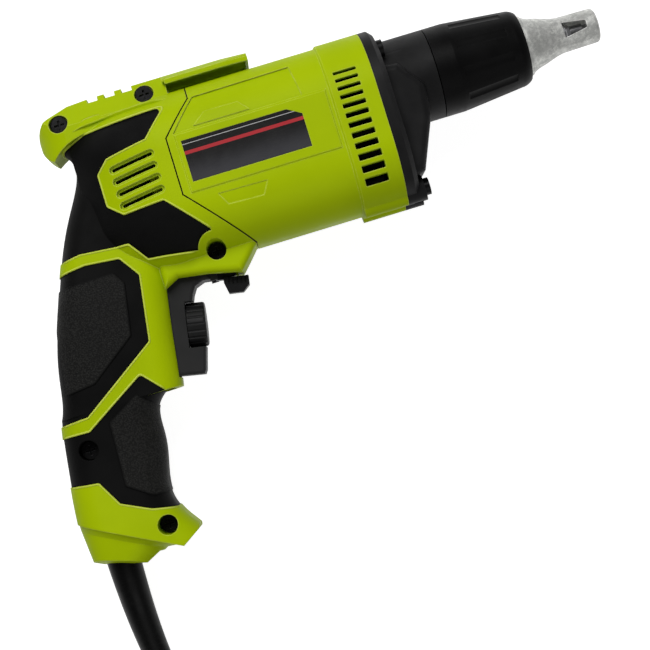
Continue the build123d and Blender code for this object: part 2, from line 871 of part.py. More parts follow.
# Forms that the shells and grips share
OUTER = handle_form(0.0)
CAVITY = handle_form(SHELL_WALL)
PAD_FLOOR = handle_form(PAD_DEPTH)
PAD_FACE = handle_form(PAD_SUNK)
PAD_RAISED = handle_form(PAD_PANEL_SUNK)
INSIDE = handle_form(PAD_DEPTH + SEATED)

# What the channels round the rear louvres take from the shells' skin
with BuildPart() as louvre_channels:
    with BuildSketch(SIDE):
        louvre_faces(LOUVRE_BORDER)
    extrude(amount=REACH, both=True)
    add(PAD_FLOOR, mode=Mode.SUBTRACT)

# Chin: guards the reversing lever
with BuildPart() as chin:
    with BuildSketch(SIDE):
        outline(
            [(CHIN_LINE[0][0], CHIN_TOP)]
            + CHIN_LINE
            + [CHIN_TIP, (SEAM_FOOT_X, SEAM_FOOT_Y), (SEAM_FOOT_X, CHIN_TOP)]
        )
    extrude(amount=CHIN_HALF_WIDTH, both=True)
    rims = chin.faces().sort_by(Axis.Z)
    fillet(rims[0].edges() + rims[-1].edges(), CHIN_ROUND)

# Top rail: side outline, cross section and plan cut one another
with BuildPart() as rail:
    with BuildSketch(SIDE):
        with BuildLine():
            ThreePointArc(HORN_LOW, (RAIL_REAR, HORN_Y), HORN_HIGH)
            Polyline(
                HORN_HIGH,
                RAIL_BACK,
                (NOTCH_FIRST, RAIL_TOP),
                (RAIL_FRONT, RAIL_TOP),
                (RAIL_FRONT, RAIL_CREASE),
                (RAIL_FRONT - RAIL_CREASE + RAIL_LOWER, RAIL_LOWER),
                RAIL_BEND,
            )
            ThreePointArc(RAIL_BEND, RAIL_HOLLOW, HORN_LOW)
        make_face()
    extrude(amount=REACH, both=True)
    with BuildSketch(station(RAIL_REAR)):
        outline(
            [
                (RAIL_TOP, RAIL_TOP_HALF),
                (RAIL_CREASE, RAIL_HALF_WIDTH),
                (0, RAIL_HALF_WIDTH),
                (0, -RAIL_HALF_WIDTH),
                (RAIL_CREASE, -RAIL_HALF_WIDTH),
                (RAIL_TOP, -RAIL_TOP_HALF),
            ]
        )
    extrude(amount=RAIL_FRONT - RAIL_REAR, mode=Mode.INTERSECT)
    with BuildSketch(level(RAIL_TOP)):
        with BuildLine():
            shoulder_x, shoulder_z = PLAN_SHOULDER
            round_x, round_z = PLAN_ROUND
            ThreePointArc(PLAN_SHOULDER, PLAN_ROUND, (RAIL_REAR, 0))
            ThreePointArc((RAIL_REAR, 0), (round_x, -round_z), (shoulder_x, -shoulder_z))
            Polyline(
                (shoulder_x, -shoulder_z),
                (RAIL_FRONT, -shoulder_z),
                (RAIL_FRONT, shoulder_z),
                PLAN_SHOULDER,
            )
        make_face()
    extrude(amount=RAIL_TOP, mode=Mode.INTERSECT)
    for number in range(NOTCH_COUNT):
        with BuildSketch(SIDE):
            with Locations((NOTCH_FIRST + number * NOTCH_PITCH, RAIL_TOP)):
                Rectangle(NOTCH_LENGTH, 2 * NOTCH_DEPTH)
        extrude(amount=REACH, both=True, mode=Mode.SUBTRACT)

# Belt hook: a crowned blade that runs forward from the rail, clear of the motor housing
with BuildPart() as hook:
    with BuildSketch(SIDE):
        outline(
            [
                (RAIL_FRONT - HOOK_EDGE, HOOK_UNDER),
                (HOOK_TIP, HOOK_UNDER),
                (HOOK_TIP, HOOK_TIP_TOP),
                (HOOK_SLOPE, RAIL_TOP),
                (RAIL_FRONT - HOOK_EDGE, RAIL_TOP),
            ]
        )
    extrude(amount=REACH, both=True)
    with BuildSketch(station(RAIL_FRONT - HOOK_EDGE)):
        outline(
            [
                (RAIL_TOP, RAIL_TOP_HALF),
                (HOOK_UNDER + HOOK_EDGE, HOOK_HALF_WIDTH),
                (HOOK_UNDER, HOOK_HALF_WIDTH),
                (HOOK_UNDER, -HOOK_HALF_WIDTH),
                (HOOK_UNDER + HOOK_EDGE, -HOOK_HALF_WIDTH),
                (RAIL_TOP, -RAIL_TOP_HALF),
            ]
        )
    extrude(amount=HOOK_TIP - RAIL_FRONT + 2 * HOOK_EDGE, mode=Mode.INTERSECT)
    with BuildSketch(level(RAIL_TOP)):
        outline(
            [
                (RAIL_FRONT - HOOK_EDGE, HOOK_HALF_WIDTH),
                (HOOK_SLOPE, HOOK_HALF_WIDTH),
                (HOOK_TIP, HOOK_TIP_HALF),
                (HOOK_TIP, -HOOK_TIP_HALF),
                (HOOK_SLOPE, -HOOK_HALF_WIDTH),
                (RAIL_FRONT - HOOK_EDGE, -HOOK_HALF_WIDTH),
            ]
        )
    extrude(amount=RAIL_TOP, mode=Mode.INTERSECT)

# Space that the soft grips fill, with and without the play around them
def pad_space(play):
    """The three grips' recesses between their floor and the outer skin."""
    with BuildPart() as space:
        for corners in (PAD_UPPER, PAD_REAR, PAD_LOWER):
            with BuildSketch(SIDE) as face:
                outline(corners)
                fillet(face.vertices(), PAD_CORNER)
                offset(amount=-play, mode=Mode.REPLACE)
            extrude(amount=REACH, both=True)
        with BuildSketch(SIDE):
            with Locations(SHELL_SCREWS[2]):
                Circle(SCREW_BOSS / 2 + PAD_CORNER + play)
        extrude(amount=REACH, both=True, mode=Mode.SUBTRACT)
        add(chin.part, mode=Mode.SUBTRACT)
        add(rail.part, mode=Mode.SUBTRACT)
    return space.part


with BuildPart() as recess:
    add(pad_space(0.0))
    add(OUTER, mode=Mode.INTERSECT)
    add(PAD_FLOOR, mode=Mode.SUBTRACT)

# Sleeve round the cord guard, which steps in below the crease of the base
crease_angle = radians(CREASE_SLOPE)
crease = Plane(
    origin=(JOINT_X + CREASE_POINT[0], CREASE_POINT[1], 0),
    x_dir=(cos(crease_angle), sin(crease_angle), 0),
    z_dir=(sin(crease_angle), -cos(crease_angle), 0),
)

with BuildPart() as sleeve:
    for depth, rear, front, half_width, corner in SLEEVE_SECTIONS:
        with BuildSketch(crease.offset(depth)):
            with Locations(((rear + front) / 2, 0)):
                RectangleRounded(front - rear, 2 * half_width, corner)
    loft(ruled=True)
    rim = Plane(origin=(JOINT_X + RIM_POINT[0], RIM_POINT[1], 0), z_dir=(0, -1, 0))
    for side in (1, -1):
        split(bisect_by=rim.rotated((side * RIM_SLOPE, 0, -RIM_FALL)), keep=Keep.BOTTOM)

# Both handle shells together, before they are parted
with BuildPart() as casing:
    add(OUTER)
    split(bisect_by=crease, keep=Keep.BOTTOM)
    add(sleeve.part)
    with BuildSketch(SIDE):
        outline(
            [(-FAR, BASE_LINE[0][1])]
            + BASE_LINE
            + [(0, BASE_LINE[-1][1]), (0, -FAR), (-FAR, -FAR)]
        )
    extrude(amount=REACH, both=True, mode=Mode.SUBTRACT)
    add(chin.part)
    with BuildSketch(SIDE):
        seam_band(-SEAM_GAP / 2, FAR)
    extrude(amount=REACH, both=True, mode=Mode.SUBTRACT)
    add(rail.part)
    add(hook.part)
    add(recess.part, mode=Mode.SUBTRACT)

# Hollow of the shells, down to the floor of the base and clear of its sleeve
with BuildPart() as hollow:
    add(CAVITY)
    with BuildSketch(SIDE):
        outline(block(-FAR, GUARD_TOP_Y, FAR, FAR))
    extrude(amount=REACH, both=True, mode=Mode.INTERSECT)
    split(bisect_by=crease.offset(-SHELL_WALL), keep=Keep.BOTTOM)

# Screw bosses and switch ribs inside the shells
with BuildPart() as bosses:
    with BuildSketch(SIDE):
        with Locations(SHELL_SCREWS):
            Circle(SCREW_BOSS / 2)
    extrude(amount=REACH, both=True)
    for a in (SWITCH_REAR + RIB, SWITCH_FRONT - 2 * RIB):
        for side in (1, -1):
            swept_box(
                block(a, SWITCH_LOW, a + RIB, LEDGE_LOW),
                side * (SWITCH_HALF_WIDTH + SEATED),
                side * HALF_WIDTH,
            )
    add(INSIDE, mode=Mode.INTERSECT)

with BuildPart() as shells:
    add(casing.part)
    add(hollow.part, mode=Mode.SUBTRACT)
    add(bosses.part)
    # trigger and lever bay
    bay = TRIGGER_HALF_WIDTH + 2 * SLIDING
    bay_low = TRIGGER_LOW - 2 * SLIDING
    swept_box(block(SWITCH_FRONT, bay_low, BAY_FRONT, BAY_TOP), -bay, bay, Mode.SUBTRACT)
    # rear louvres
    with BuildSketch(SIDE):
        louvre_faces()
    extrude(amount=REACH, both=True, mode=Mode.SUBTRACT)
    add(louvre_channels.part, mode=Mode.SUBTRACT)
    # screw recesses on the right, bores through to the left
    with BuildSketch(Plane(origin=(JOINT_X, 0, SCREW_SEAT_Z))):
        with Locations(SHELL_SCREWS):
            Circle(SCREW_RECESS / 2)
    extrude(amount=REACH, mode=Mode.SUBTRACT)
    with BuildSketch(Plane(origin=(JOINT_X, 0, SCREW_SEAT_Z))):
        with Locations(SHELL_SCREWS):
            Circle(SCREW_SHANK / 2 + SCREW_BORE_PLAY)
    extrude(amount=-(SCREW_SEAT_Z + SCREW_REACH), mode=Mode.SUBTRACT)
    # cord guard: passage, hole and groove for its flange
    with BuildSketch(level(CLAMP_Y)):
        with Locations((GUARD_X, 0)):
            Circle(CORD_WELL)
    extrude(amount=CLAMP_Y - GUARD_TOP_Y, mode=Mode.SUBTRACT)
    with BuildSketch(level(GUARD_TOP_Y)):
        with Locations((GUARD_X, 0)):
            Circle(GUARD_RADIUS + SEATED)
    extrude(amount=FAR, mode=Mode.SUBTRACT)
    with BuildSketch(level(GUARD_TOP_Y)):
        with Locations((GUARD_X, 0)):
            Circle(GUARD_FLANGE + SEATED)
    extrude(amount=GUARD_TOP_Y - GUARD_NECK_Y, mode=Mode.SUBTRACT)
    # lock button, on the left only
    with BuildSketch(Plane(origin=(JOINT_X, 0, -bay))):
        with Locations(BUTTON_POINT):
            Circle(BUTTON_RADIUS + SLIDING)
    extrude(amount=-REACH, mode=Mode.SUBTRACT)
    # pocket of the lock button's flange
    with BuildSketch(Plane(origin=(JOINT_X, 0, -bay))):
        with Locations(BUTTON_POINT):
            Circle(BUTTON_RADIUS + BUTTON_FLANGE + SLIDING)
    extrude(amount=bay - BUTTON_IN - SLIDING, mode=Mode.SUBTRACT)

# Posts of the cable clamp, on the left shell
with BuildPart() as posts:
    with BuildSketch(Plane(origin=(JOINT_X, 0, CORD_RADIUS))):
        with Locations(*[(GUARD_X + side * CLAMP_SPREAD, CLAMP_Y) for side in (1, -1)]):
            Circle(CLAMP_POST)
            Circle(CLAMP_SCREW, mode=Mode.SUBTRACT)
    extrude(amount=-REACH)
    add(INSIDE, mode=Mode.INTERSECT)

with BuildPart() as handle_shell_right:
    add(shells.part)
    split(bisect_by=Plane.XY, keep=Keep.TOP)

with BuildPart() as handle_shell_left:
    add(shells.part)
    split(bisect_by=Plane.XY, keep=Keep.BOTTOM)
    add(posts.part)

# Soft grips: sunk faces with raised inner panels
with BuildPart() as raised:
    for corners in (PANEL_OF_REAR, PANEL_OF_LOWER):
        with BuildSketch(SIDE) as panel:
            outline(corners)
            fillet(panel.vertices(), PAD_CORNER)
        extrude(amount=REACH, both=True)
    add(PAD_RAISED, mode=Mode.INTERSECT)

with BuildPart() as grips:
    add(PAD_FACE)
    add(raised.part)
    add(pad_space(SEATED), mode=Mode.INTERSECT)
    add(handle_form(PAD_DEPTH - SEATED), mode=Mode.SUBTRACT)
    with BuildSketch(Plane(origin=(JOINT_X, 0, 0))):
        with Locations(SHELL_SCREWS[4]):
            Circle(SCREW_RECESS / 2 + SEATED)
    extrude(amount=REACH, mode=Mode.SUBTRACT)

with BuildPart() as soft_grip_right:
    add(grips.part)
    split(bisect_by=Plane.XY, keep=Keep.TOP)

with BuildPart() as soft_grip_left:
    add(grips.part)
    split(bisect_by=Plane.XY, keep=Keep.BOTTOM)
    with BuildSketch(SIDE):
        with Locations(BUTTON_POINT):
            Circle(BUTTON_RADIUS + 2 * SLIDING)
    extrude(amount=-REACH, mode=Mode.SUBTRACT)

with BuildPart() as shell_screws:
    with BuildSketch(Plane(origin=(JOINT_X, 0, SCREW_SEAT_Z))):
        with Locations(SHELL_SCREWS):
            Circle(SCREW_HEAD / 2)
    extrude(amount=SCREW_HEAD_HEIGHT)
    with BuildSketch(Plane(origin=(JOINT_X, 0, SCREW_SEAT_Z + SCREW_HEAD_HEIGHT))):
        with Locations(SHELL_SCREWS):
            cross_recess()
    extrude(amount=-CROSS_DEPTH, mode=Mode.SUBTRACT)
    with BuildSketch(Plane(origin=(JOINT_X, 0, SCREW_SEAT_Z))):
        with Locations(SHELL_SCREWS):
            Circle(SCREW_SHANK / 2)
    extrude(amount=SLIDING - SCREW_SEAT_Z - SCREW_REACH)

# Tongue of the motor housing, which the shells close over
with BuildPart() as tongue:
    with BuildSketch(station(SEAM_BACK_X - LAP)):
        barrel_ring(LAP_INSET, LAP_INSET + LAP_WALL)
    extrude(amount=LAP - SEAM_BACK_X)
    with BuildSketch(SIDE):
        seam_band(-LAP, LAP)
    extrude(amount=REACH, both=True, mode=Mode.INTERSECT)

# Step that joins the tongue to the housing's wall
with BuildPart() as tongue_root:
    with BuildSketch(station(SEAM_BACK_X - LAP)):
        barrel_ring(HOUSING_WALL / 2, LAP_INSET + LAP_WALL)
    extrude(amount=LAP - SEAM_BACK_X)
    with BuildSketch(SIDE):
        seam_band(SEAM_GAP / 2, LAP)
    extrude(amount=REACH, both=True, mode=Mode.INTERSECT)

# What the upper fields take from the motor housing
with BuildPart() as upper_field:
    add(skin_cut(UPPER_FIELD, FIELD_DEPTH))
    add(skin_cut(UPPER_BADGE, FIELD_DEPTH), mode=Mode.SUBTRACT)
    add(skin_cut(UPPER_BADGE, BADGE_DEPTH))

with BuildPart() as motor_housing:
    with BuildSketch(station(SEAM_BACK_X)):
        barrel_face()
    extrude(amount=-SEAM_BACK_X)
    with BuildSketch(station(-RING_LENGTH)):
        barrel_face(-RING_PROUD)
    extrude(amount=RING_LENGTH)
    ring_rear = motor_housing.faces().filter_by(Axis.X).sort_by(Axis.X)[1]
    chamfer(ring_rear.outer_wire().edges(), RING_BEVEL)
    # raised side panels
    for side in (1, -1):
        with BuildSketch(side_face(HALF_WIDTH, side)):
            with Locations(((PANEL_REAR + PANEL_FRONT) / 2, side * (PANEL_TOP + PANEL_BOTTOM) / 2)):
                Rectangle(PANEL_FRONT - PANEL_REAR, PANEL_TOP - PANEL_BOTTOM)
        extrude(amount=-HOUSING_WALL, taper=-PANEL_BEVEL)
    # lugs of the lower case screws
    for y, z in CASE_SCREWS[2:]:
        bar(LUG_REAR, 0, LUG_RADIUS, y, z)
    with BuildSketch(SIDE):
        seam_band(-FAR, SEAM_GAP / 2)
    extrude(amount=REACH, both=True, mode=Mode.SUBTRACT)
    with BuildSketch(station(SEAM_BACK_X)):
        barrel_face(HOUSING_WALL)
    extrude(amount=-SEAM_BACK_X, mode=Mode.SUBTRACT)
    # bosses of the case screws, inside the wall
    with BuildSketch(station(LUG_REAR)):
        with Locations(*CASE_SCREWS):
            Circle(LUG_RADIUS)
        with Locations((BARREL_Y, 0)):
            RectangleRounded(
                BARREL_HEIGHT - HOUSING_WALL,
                BARREL_WIDTH - HOUSING_WALL,
                BARREL_CORNER - HOUSING_WALL / 2,
                mode=Mode.INTERSECT,
            )
    extrude(amount=-LUG_REAR)
    for y, z in CASE_SCREWS:
        bar(LUG_REAR + HOUSING_WALL, 0, CASE_SCREW_SHANK / 2 + SCREW_BORE_PLAY, y, z, Mode.SUBTRACT)
    # stator seat ribs
    with BuildSketch(station(STATOR_REAR)):
        with Locations((MOTOR_Y, 0)):
            with PolarLocations(STATOR_RADIUS + SEATED, 4, start_angle=45):
                Rectangle(BARREL_HEIGHT / 2, SEAT_RIB, align=(Align.MIN, Align.CENTER))
        with Locations((BARREL_Y, 0)):
            RectangleRounded(
                BARREL_HEIGHT - HOUSING_WALL,
                BARREL_WIDTH - HOUSING_WALL,
                BARREL_CORNER - HOUSING_WALL / 2,
                mode=Mode.INTERSECT,
            )
    extrude(amount=STATOR_FRONT - STATOR_REAR)
    add(tongue_root.part)
    add(tongue.part)
    # bridge with the rear bearing's pocket
    bridge_rear = SEAM_BACK_X - BRIDGE_THICK
    with BuildSketch(station(bridge_rear)):
        with Locations((MOTOR_Y, 0)):
            Rectangle(BRIDGE_HEIGHT, BARREL_WIDTH - 2 * LAP_INSET - LAP_WALL)
    extrude(amount=BRIDGE_THICK)
    bar(REAR_BEARING_X - HUB_FLOOR, SEAM_BACK_X, BEARING_RADIUS + HUB_WALL, MOTOR_Y)
    bar(REAR_BEARING_X, SEAM_BACK_X, BEARING_RADIUS + SEATED, MOTOR_Y, mode=Mode.SUBTRACT)
    bar(REAR_BEARING_X - HUB_FLOOR, SEAM_BACK_X, SHAFT_RADIUS + SLIDING, MOTOR_Y, mode=Mode.SUBTRACT)
    # air slots
    for number in range(VENT_COUNT):
        with BuildSketch(SIDE):
            drop = number * (VENT_PITCH + VENT_PITCH_GROWTH * (number - 1) / 2)
            height = VENT_HEIGHT + number * VENT_HEIGHT_GROWTH
            with Locations(((VENT_REAR + VENT_FRONT) / 2, VENT_TOP_Y - drop)):
                RectangleRounded(VENT_FRONT - VENT_REAR, height, VENT_CORNER)
        extrude(amount=REACH, both=True, mode=Mode.SUBTRACT)
    # shallow fields, the upper one with a raised badge
    add(upper_field.part, mode=Mode.SUBTRACT)
    add(skin_cut(LOWER_FIELD, BADGE_DEPTH), mode=Mode.SUBTRACT)
    # recess of the rating plate
    with BuildSketch(Plane(origin=(JOINT_X, 0, HALF_WIDTH - PLATE_RECESS))):
        outline(plate_corners(SEATED))
    extrude(amount=PLATE_RECESS, mode=Mode.SUBTRACT)

with BuildPart() as rating_plate:
    with BuildSketch(Plane(origin=(JOINT_X, 0, HALF_WIDTH - PLATE_RECESS))):
        outline(plate_corners(0))
    extrude(amount=PLATE_THICKNESS)

# Stator: laminated ring with pockets for two field coils
with BuildPart() as stator_core:
    tube(STATOR_REAR, STATOR_FRONT, STATOR_RADIUS, STATOR_BORE, MOTOR_Y)
    for side in (90, -90):
        with BuildSketch(station(STATOR_REAR)):
            sector(STATOR_BORE - OVERCUT, POLE_POCKET, side - POLE_HALF_ANGLE, side + POLE_HALF_ANGLE)
        extrude(amount=STATOR_FRONT - STATOR_REAR, mode=Mode.SUBTRACT)

with BuildPart() as field_coils:
    coil_inner = STATOR_BORE + COIL_PLAY
    coil_outer = POLE_POCKET - COIL_PLAY
    open_angle = 90 - POLE_HALF_ANGLE + COIL_ANGLE_PLAY
    for turned in (0, 180):
        for side in (1, -1):
            with BuildSketch(station(STATOR_REAR - COIL_OVERHANG)):
                if side > 0:
                    sector(coil_inner, coil_outer, turned + open_angle, turned + 90 - COIL_ANGLE_PLAY)
                else:
                    sector(coil_inner, coil_outer, turned - 90 + COIL_ANGLE_PLAY, turned - open_angle)
            extrude(amount=STATOR_FRONT - STATOR_REAR + 2 * COIL_OVERHANG)
        for start in (STATOR_REAR - COIL_OVERHANG, STATOR_FRONT + COIL_PLAY):
            with BuildSketch(station(start)):
                half_turn = 90 - COIL_ANGLE_PLAY
                sector(coil_inner, coil_outer, turned - half_turn, turned + half_turn)
            extrude(amount=COIL_OVERHANG - COIL_PLAY)

with BuildPart() as armature_shaft:
    pinion_rear = FRONT_BEARING_X + BEARING_WIDTH
    bar(REAR_BEARING_X + SLIDING, REAR_BEARING_X + BEARING_WIDTH, JOURNAL_RADIUS, MOTOR_Y)
    bar(REAR_BEARING_X + BEARING_WIDTH, FRONT_BEARING_X, SHAFT_RADIUS, MOTOR_Y)
    bar(FRONT_BEARING_X, pinion_rear, JOURNAL_RADIUS, MOTOR_Y)
    with BuildSketch(station(pinion_rear)):
        with Locations((MOTOR_Y, 0)):
            Circle(PINION_ROOT)
            with PolarLocations(0, PINION_TEETH):
                Polygon(*tooth(PINION_ROOT, PINION_TIP, PINION_FOOT, PINION_CREST), align=None)
    extrude(amount=PINION_FRONT - pinion_rear)

with BuildPart() as armature_core:
    with BuildSketch(station(STATOR_REAR)):
        disc(ARMATURE_RADIUS, MOTOR_Y)
        with Locations((MOTOR_Y, 0)):
            with PolarLocations(ARMATURE_RADIUS - SLOT_DEPTH, ARMATURE_SLOTS):
                Rectangle(
                    2 * SLOT_DEPTH,
                    SLOT_WIDTH,
                    align=(Align.MIN, Align.CENTER),
                    mode=Mode.SUBTRACT,
                )
        disc(SHAFT_RADIUS + SEATED, MOTOR_Y, 0, Mode.SUBTRACT)
    extrude(amount=STATOR_FRONT - STATOR_REAR)

with BuildPart() as armature_winding:
    lump_inner = SHAFT_RADIUS + WINDING_CLEAR
    lump_outer = ARMATURE_RADIUS - WINDING_SUNK
    with BuildSketch(station(STATOR_REAR - COIL_PLAY)):
        with Locations((MOTOR_Y, 0)):
            with PolarLocations(ARMATURE_RADIUS - SLOT_DEPTH + SEATED, ARMATURE_SLOTS):
                Rectangle(
                    SLOT_DEPTH - WINDING_SUNK,
                    SLOT_WIDTH - 2 * SEATED,
                    align=(Align.MIN, Align.CENTER),
                )
    extrude(amount=STATOR_FRONT - STATOR_REAR + 2 * COIL_PLAY)
    for face_x, out in (
        (STATOR_REAR - COIL_PLAY, -WINDING_OVERHANG),
        (STATOR_FRONT + COIL_PLAY, WINDING_OVERHANG),
    ):
        turn(
            [
                (face_x, lump_inner),
                (face_x, lump_outer),
                (face_x + WINDING_SHOULDER * out, lump_outer),
                (face_x + out, WINDING_CROWN * lump_outer),
                (face_x + out, lump_inner),
            ],
            MOTOR_Y,
        )

with BuildPart() as commutator:
    with BuildSketch(station(COMMUTATOR_REAR)):
        disc(COMMUTATOR_RADIUS, MOTOR_Y)
        disc(SHAFT_RADIUS + SEATED, MOTOR_Y, 0, Mode.SUBTRACT)
        with Locations((MOTOR_Y, 0)):
            with PolarLocations(COMMUTATOR_RADIUS, COMMUTATOR_BARS):
                Rectangle(2 * BAR_SLOT_DEPTH, BAR_SLOT_WIDTH, mode=Mode.SUBTRACT)
    extrude(amount=COMMUTATOR_FRONT - COMMUTATOR_REAR)

with BuildPart() as cooling_fan:
    tube(FAN_REAR, FAN_FRONT, SHAFT_RADIUS + FAN_HUB_WALL, SHAFT_RADIUS + SEATED, MOTOR_Y)
    tube(FAN_FRONT - FAN_DISC, FAN_FRONT, FAN_RADIUS, SHAFT_RADIUS + SEATED, MOTOR_Y)
    with BuildSketch(station(FAN_REAR)):
        with Locations((MOTOR_Y, 0)):
            with PolarLocations(SHAFT_RADIUS + FAN_ROOT, FAN_BLADES):
                Rectangle(
                    FAN_RADIUS - SHAFT_RADIUS - FAN_ROOT,
                    FAN_BLADE,
                    align=(Align.MIN, Align.CENTER),
                )
    extrude(amount=FAN_FRONT - FAN_REAR)


def ball_bearing(rear):
    """Two races and a cage ring with shields, joined as one bought-in piece, in the open part."""
    tube(rear, rear + BEARING_WIDTH, BEARING_RADIUS, JOURNAL_RADIUS + SEATED, MOTOR_Y)
    for start in (rear, rear + BEARING_WIDTH - SHIELD_SUNK):
        with BuildSketch(station(start)) as groove:
            disc(BEARING_RADIUS - RACE, MOTOR_Y)
            disc(JOURNAL_RADIUS + RACE, MOTOR_Y, 0, Mode.SUBTRACT)
        extrude(groove.sketch, amount=SHIELD_SUNK, mode=Mode.SUBTRACT)


with BuildPart() as rear_bearing:
    ball_bearing(REAR_BEARING_X)

with BuildPart() as front_bearing:
    ball_bearing(FRONT_BEARING_X)

with BuildPart() as brush_holders:
    for side in (1, -1):
        with BuildSketch(side_face(COMMUTATOR_RADIUS + BRUSH_BARE, side)):
            with Locations((BRUSH_X, side * MOTOR_Y)):
                Rectangle(BRUSH_WIDTH + 2 * HOLDER_WALL, BRUSH_HEIGHT + 2 * HOLDER_WALL)
                Rectangle(BRUSH_WIDTH + 2 * SEATED, BRUSH_HEIGHT + 2 * SEATED, mode=Mode.SUBTRACT)
        extrude(amount=HOLDER_OUTER - COMMUTATOR_RADIUS - BRUSH_BARE)
        # foot on the bridge
        with BuildSketch(side_face(COMMUTATOR_RADIUS + BRUSH_BARE, side)):
            with Locations((SEAM_BACK_X, side * MOTOR_Y)):
                foot = BRUSH_X - BRUSH_WIDTH / 2 - HOLDER_WALL - SEAM_BACK_X
                Rectangle(foot, BRUSH_HEIGHT, align=(Align.MIN, Align.CENTER))
        extrude(amount=HOLDER_OUTER - COMMUTATOR_RADIUS - BRUSH_BARE)

with BuildPart() as carbon_brushes:
    for side in (1, -1):
        with BuildSketch(side_face(COMMUTATOR_RADIUS - BRUSH_LAP, side)):
            with Locations((BRUSH_X, side * MOTOR_Y)):
                Rectangle(BRUSH_WIDTH, BRUSH_HEIGHT)
        extrude(amount=BRUSH_OUTER - COMMUTATOR_RADIUS + BRUSH_LAP)
    bar(COMMUTATOR_REAR, COMMUTATOR_FRONT, COMMUTATOR_RADIUS + RUNNING, MOTOR_Y, mode=Mode.SUBTRACT)

with BuildPart() as fan_baffle:
    with BuildSketch(station(BAFFLE_REAR)):
        barrel_face(HOUSING_WALL + SEATED)
        disc(BAFFLE_BORE, MOTOR_Y, 0, Mode.SUBTRACT)
        with Locations(*CASE_SCREWS):
            Circle(LUG_RADIUS + SEATED, mode=Mode.SUBTRACT)
    extrude(amount=BAFFLE_THICKNESS)

# Plate between motor and gears
with BuildPart() as bearing_plate:
    with BuildSketch(station(0)):
        barrel_face(PLATE_PLAY + SEATED)
    extrude(amount=BEARING_PLATE)
    bar(FRONT_BEARING_X - HUB_FLOOR, BEARING_PLATE, BEARING_RADIUS + HUB_WALL, MOTOR_Y)
    bar(FRONT_BEARING_X, BEARING_PLATE, BEARING_RADIUS + SEATED, MOTOR_Y, mode=Mode.SUBTRACT)
    bar(FRONT_BEARING_X - HUB_FLOOR, 0, SHAFT_RADIUS + SLIDING, MOTOR_Y, mode=Mode.SUBTRACT)
    bar(0, BEARING_PLATE, REAR_BUSH_RADIUS + SEATED, mode=Mode.SUBTRACT)
    for y, z in CASE_SCREWS:
        bar(0, BEARING_PLATE, LUG_RADIUS, y, z, Mode.SUBTRACT)

with BuildPart() as rear_spindle_bush:
    tube(0, BEARING_PLATE, REAR_BUSH_RADIUS, TAIL_RADIUS + RUNNING)

# Gear case: flange, gear bulge, neck and threaded snout
with BuildPart() as bulge:
    with BuildSketch(SIDE):
        outline(BULGE)
    extrude(amount=BULGE_HALF_WIDTH, both=True)
    sides = bulge.faces().sort_by(Axis.Z)
    fillet(sides[0].edges() + sides[-1].edges(), BULGE_ROUND)

with BuildPart() as gear_case:
    with BuildSketch(station(0)):
        barrel_face(-RING_PROUD)
    extrude(amount=FLANGE)
    flange_front = gear_case.faces().filter_by(Axis.X).sort_by(Axis.X)[-1]
    chamfer(flange_front.edges(), FLANGE_BEVEL)
    for y, z in CASE_SCREWS[2:]:
        bar(0, LUG_FRONT, LUG_RADIUS, y, z)
    add(bulge.part)
    bar(0, NECK_END, NECK_RADIUS)
    bar(NECK_END, SNOUT_END, SNOUT_RADIUS)
    # seat of the bearing plate, gear room, bush seat and snout bore
    with BuildSketch(station(0)):
        barrel_face(PLATE_PLAY)
        with Locations(*CASE_SCREWS):
            Circle(LUG_RADIUS - SEATED, mode=Mode.SUBTRACT)
    extrude(amount=BEARING_PLATE + SEATED, mode=Mode.SUBTRACT)
    bar(0, GEAR_ROOM_END, GEAR_TIP + GEAR_ROOM, mode=Mode.SUBTRACT)
    bar(0, PINION_FRONT + GEAR_ROOM, PINION_TIP + GEAR_ROOM, MOTOR_Y, mode=Mode.SUBTRACT)
    bar(0, BUSH_REAR, DOG_OUTER + GEAR_ROOM, mode=Mode.SUBTRACT)
    bar(BUSH_REAR, BUSH_FRONT, BUSH_RADIUS + SEATED, mode=Mode.SUBTRACT)
    bar(BUSH_FRONT, SNOUT_END, SNOUT_BORE, mode=Mode.SUBTRACT)
    for y, z in CASE_SCREWS:
        bar(0, LUG_FRONT, CASE_SCREW_SHANK / 2 + SCREW_BORE_PLAY, y, z, Mode.SUBTRACT)
    # flat spots for the upper screw heads
    for y, z in CASE_SCREWS[:2]:
        bar(FLANGE, LUG_FRONT + SCREW_HEAD, SCREW_HEAD / 2 + SLIDING, y, z, Mode.SUBTRACT)

with BuildPart() as gear_case_screws:
    for seat, (y, z) in zip((FLANGE, FLANGE, LUG_FRONT, LUG_FRONT), CASE_SCREWS):
        bar(LUG_REAR + HOUSING_WALL + SLIDING, seat, CASE_SCREW_SHANK / 2, y, z)
        bar(seat, seat + SCREW_HEAD_HEIGHT, SCREW_HEAD / 2, y, z)
        with BuildSketch(station(seat + SCREW_HEAD_HEIGHT)):
            with Locations((y, z)):
                cross_recess()
        extrude(amount=-CROSS_DEPTH, mode=Mode.SUBTRACT)

with BuildPart() as spindle_bush:
    tube(BUSH_REAR, BUSH_FRONT, BUSH_RADIUS, SPINDLE_RADIUS + RUNNING)

with BuildPart() as dust_seal:
    tube(BUSH_FRONT, BUSH_FRONT + SEAL_LENGTH, SNOUT_BORE - SEATED, SPINDLE_RADIUS + RUNNING)

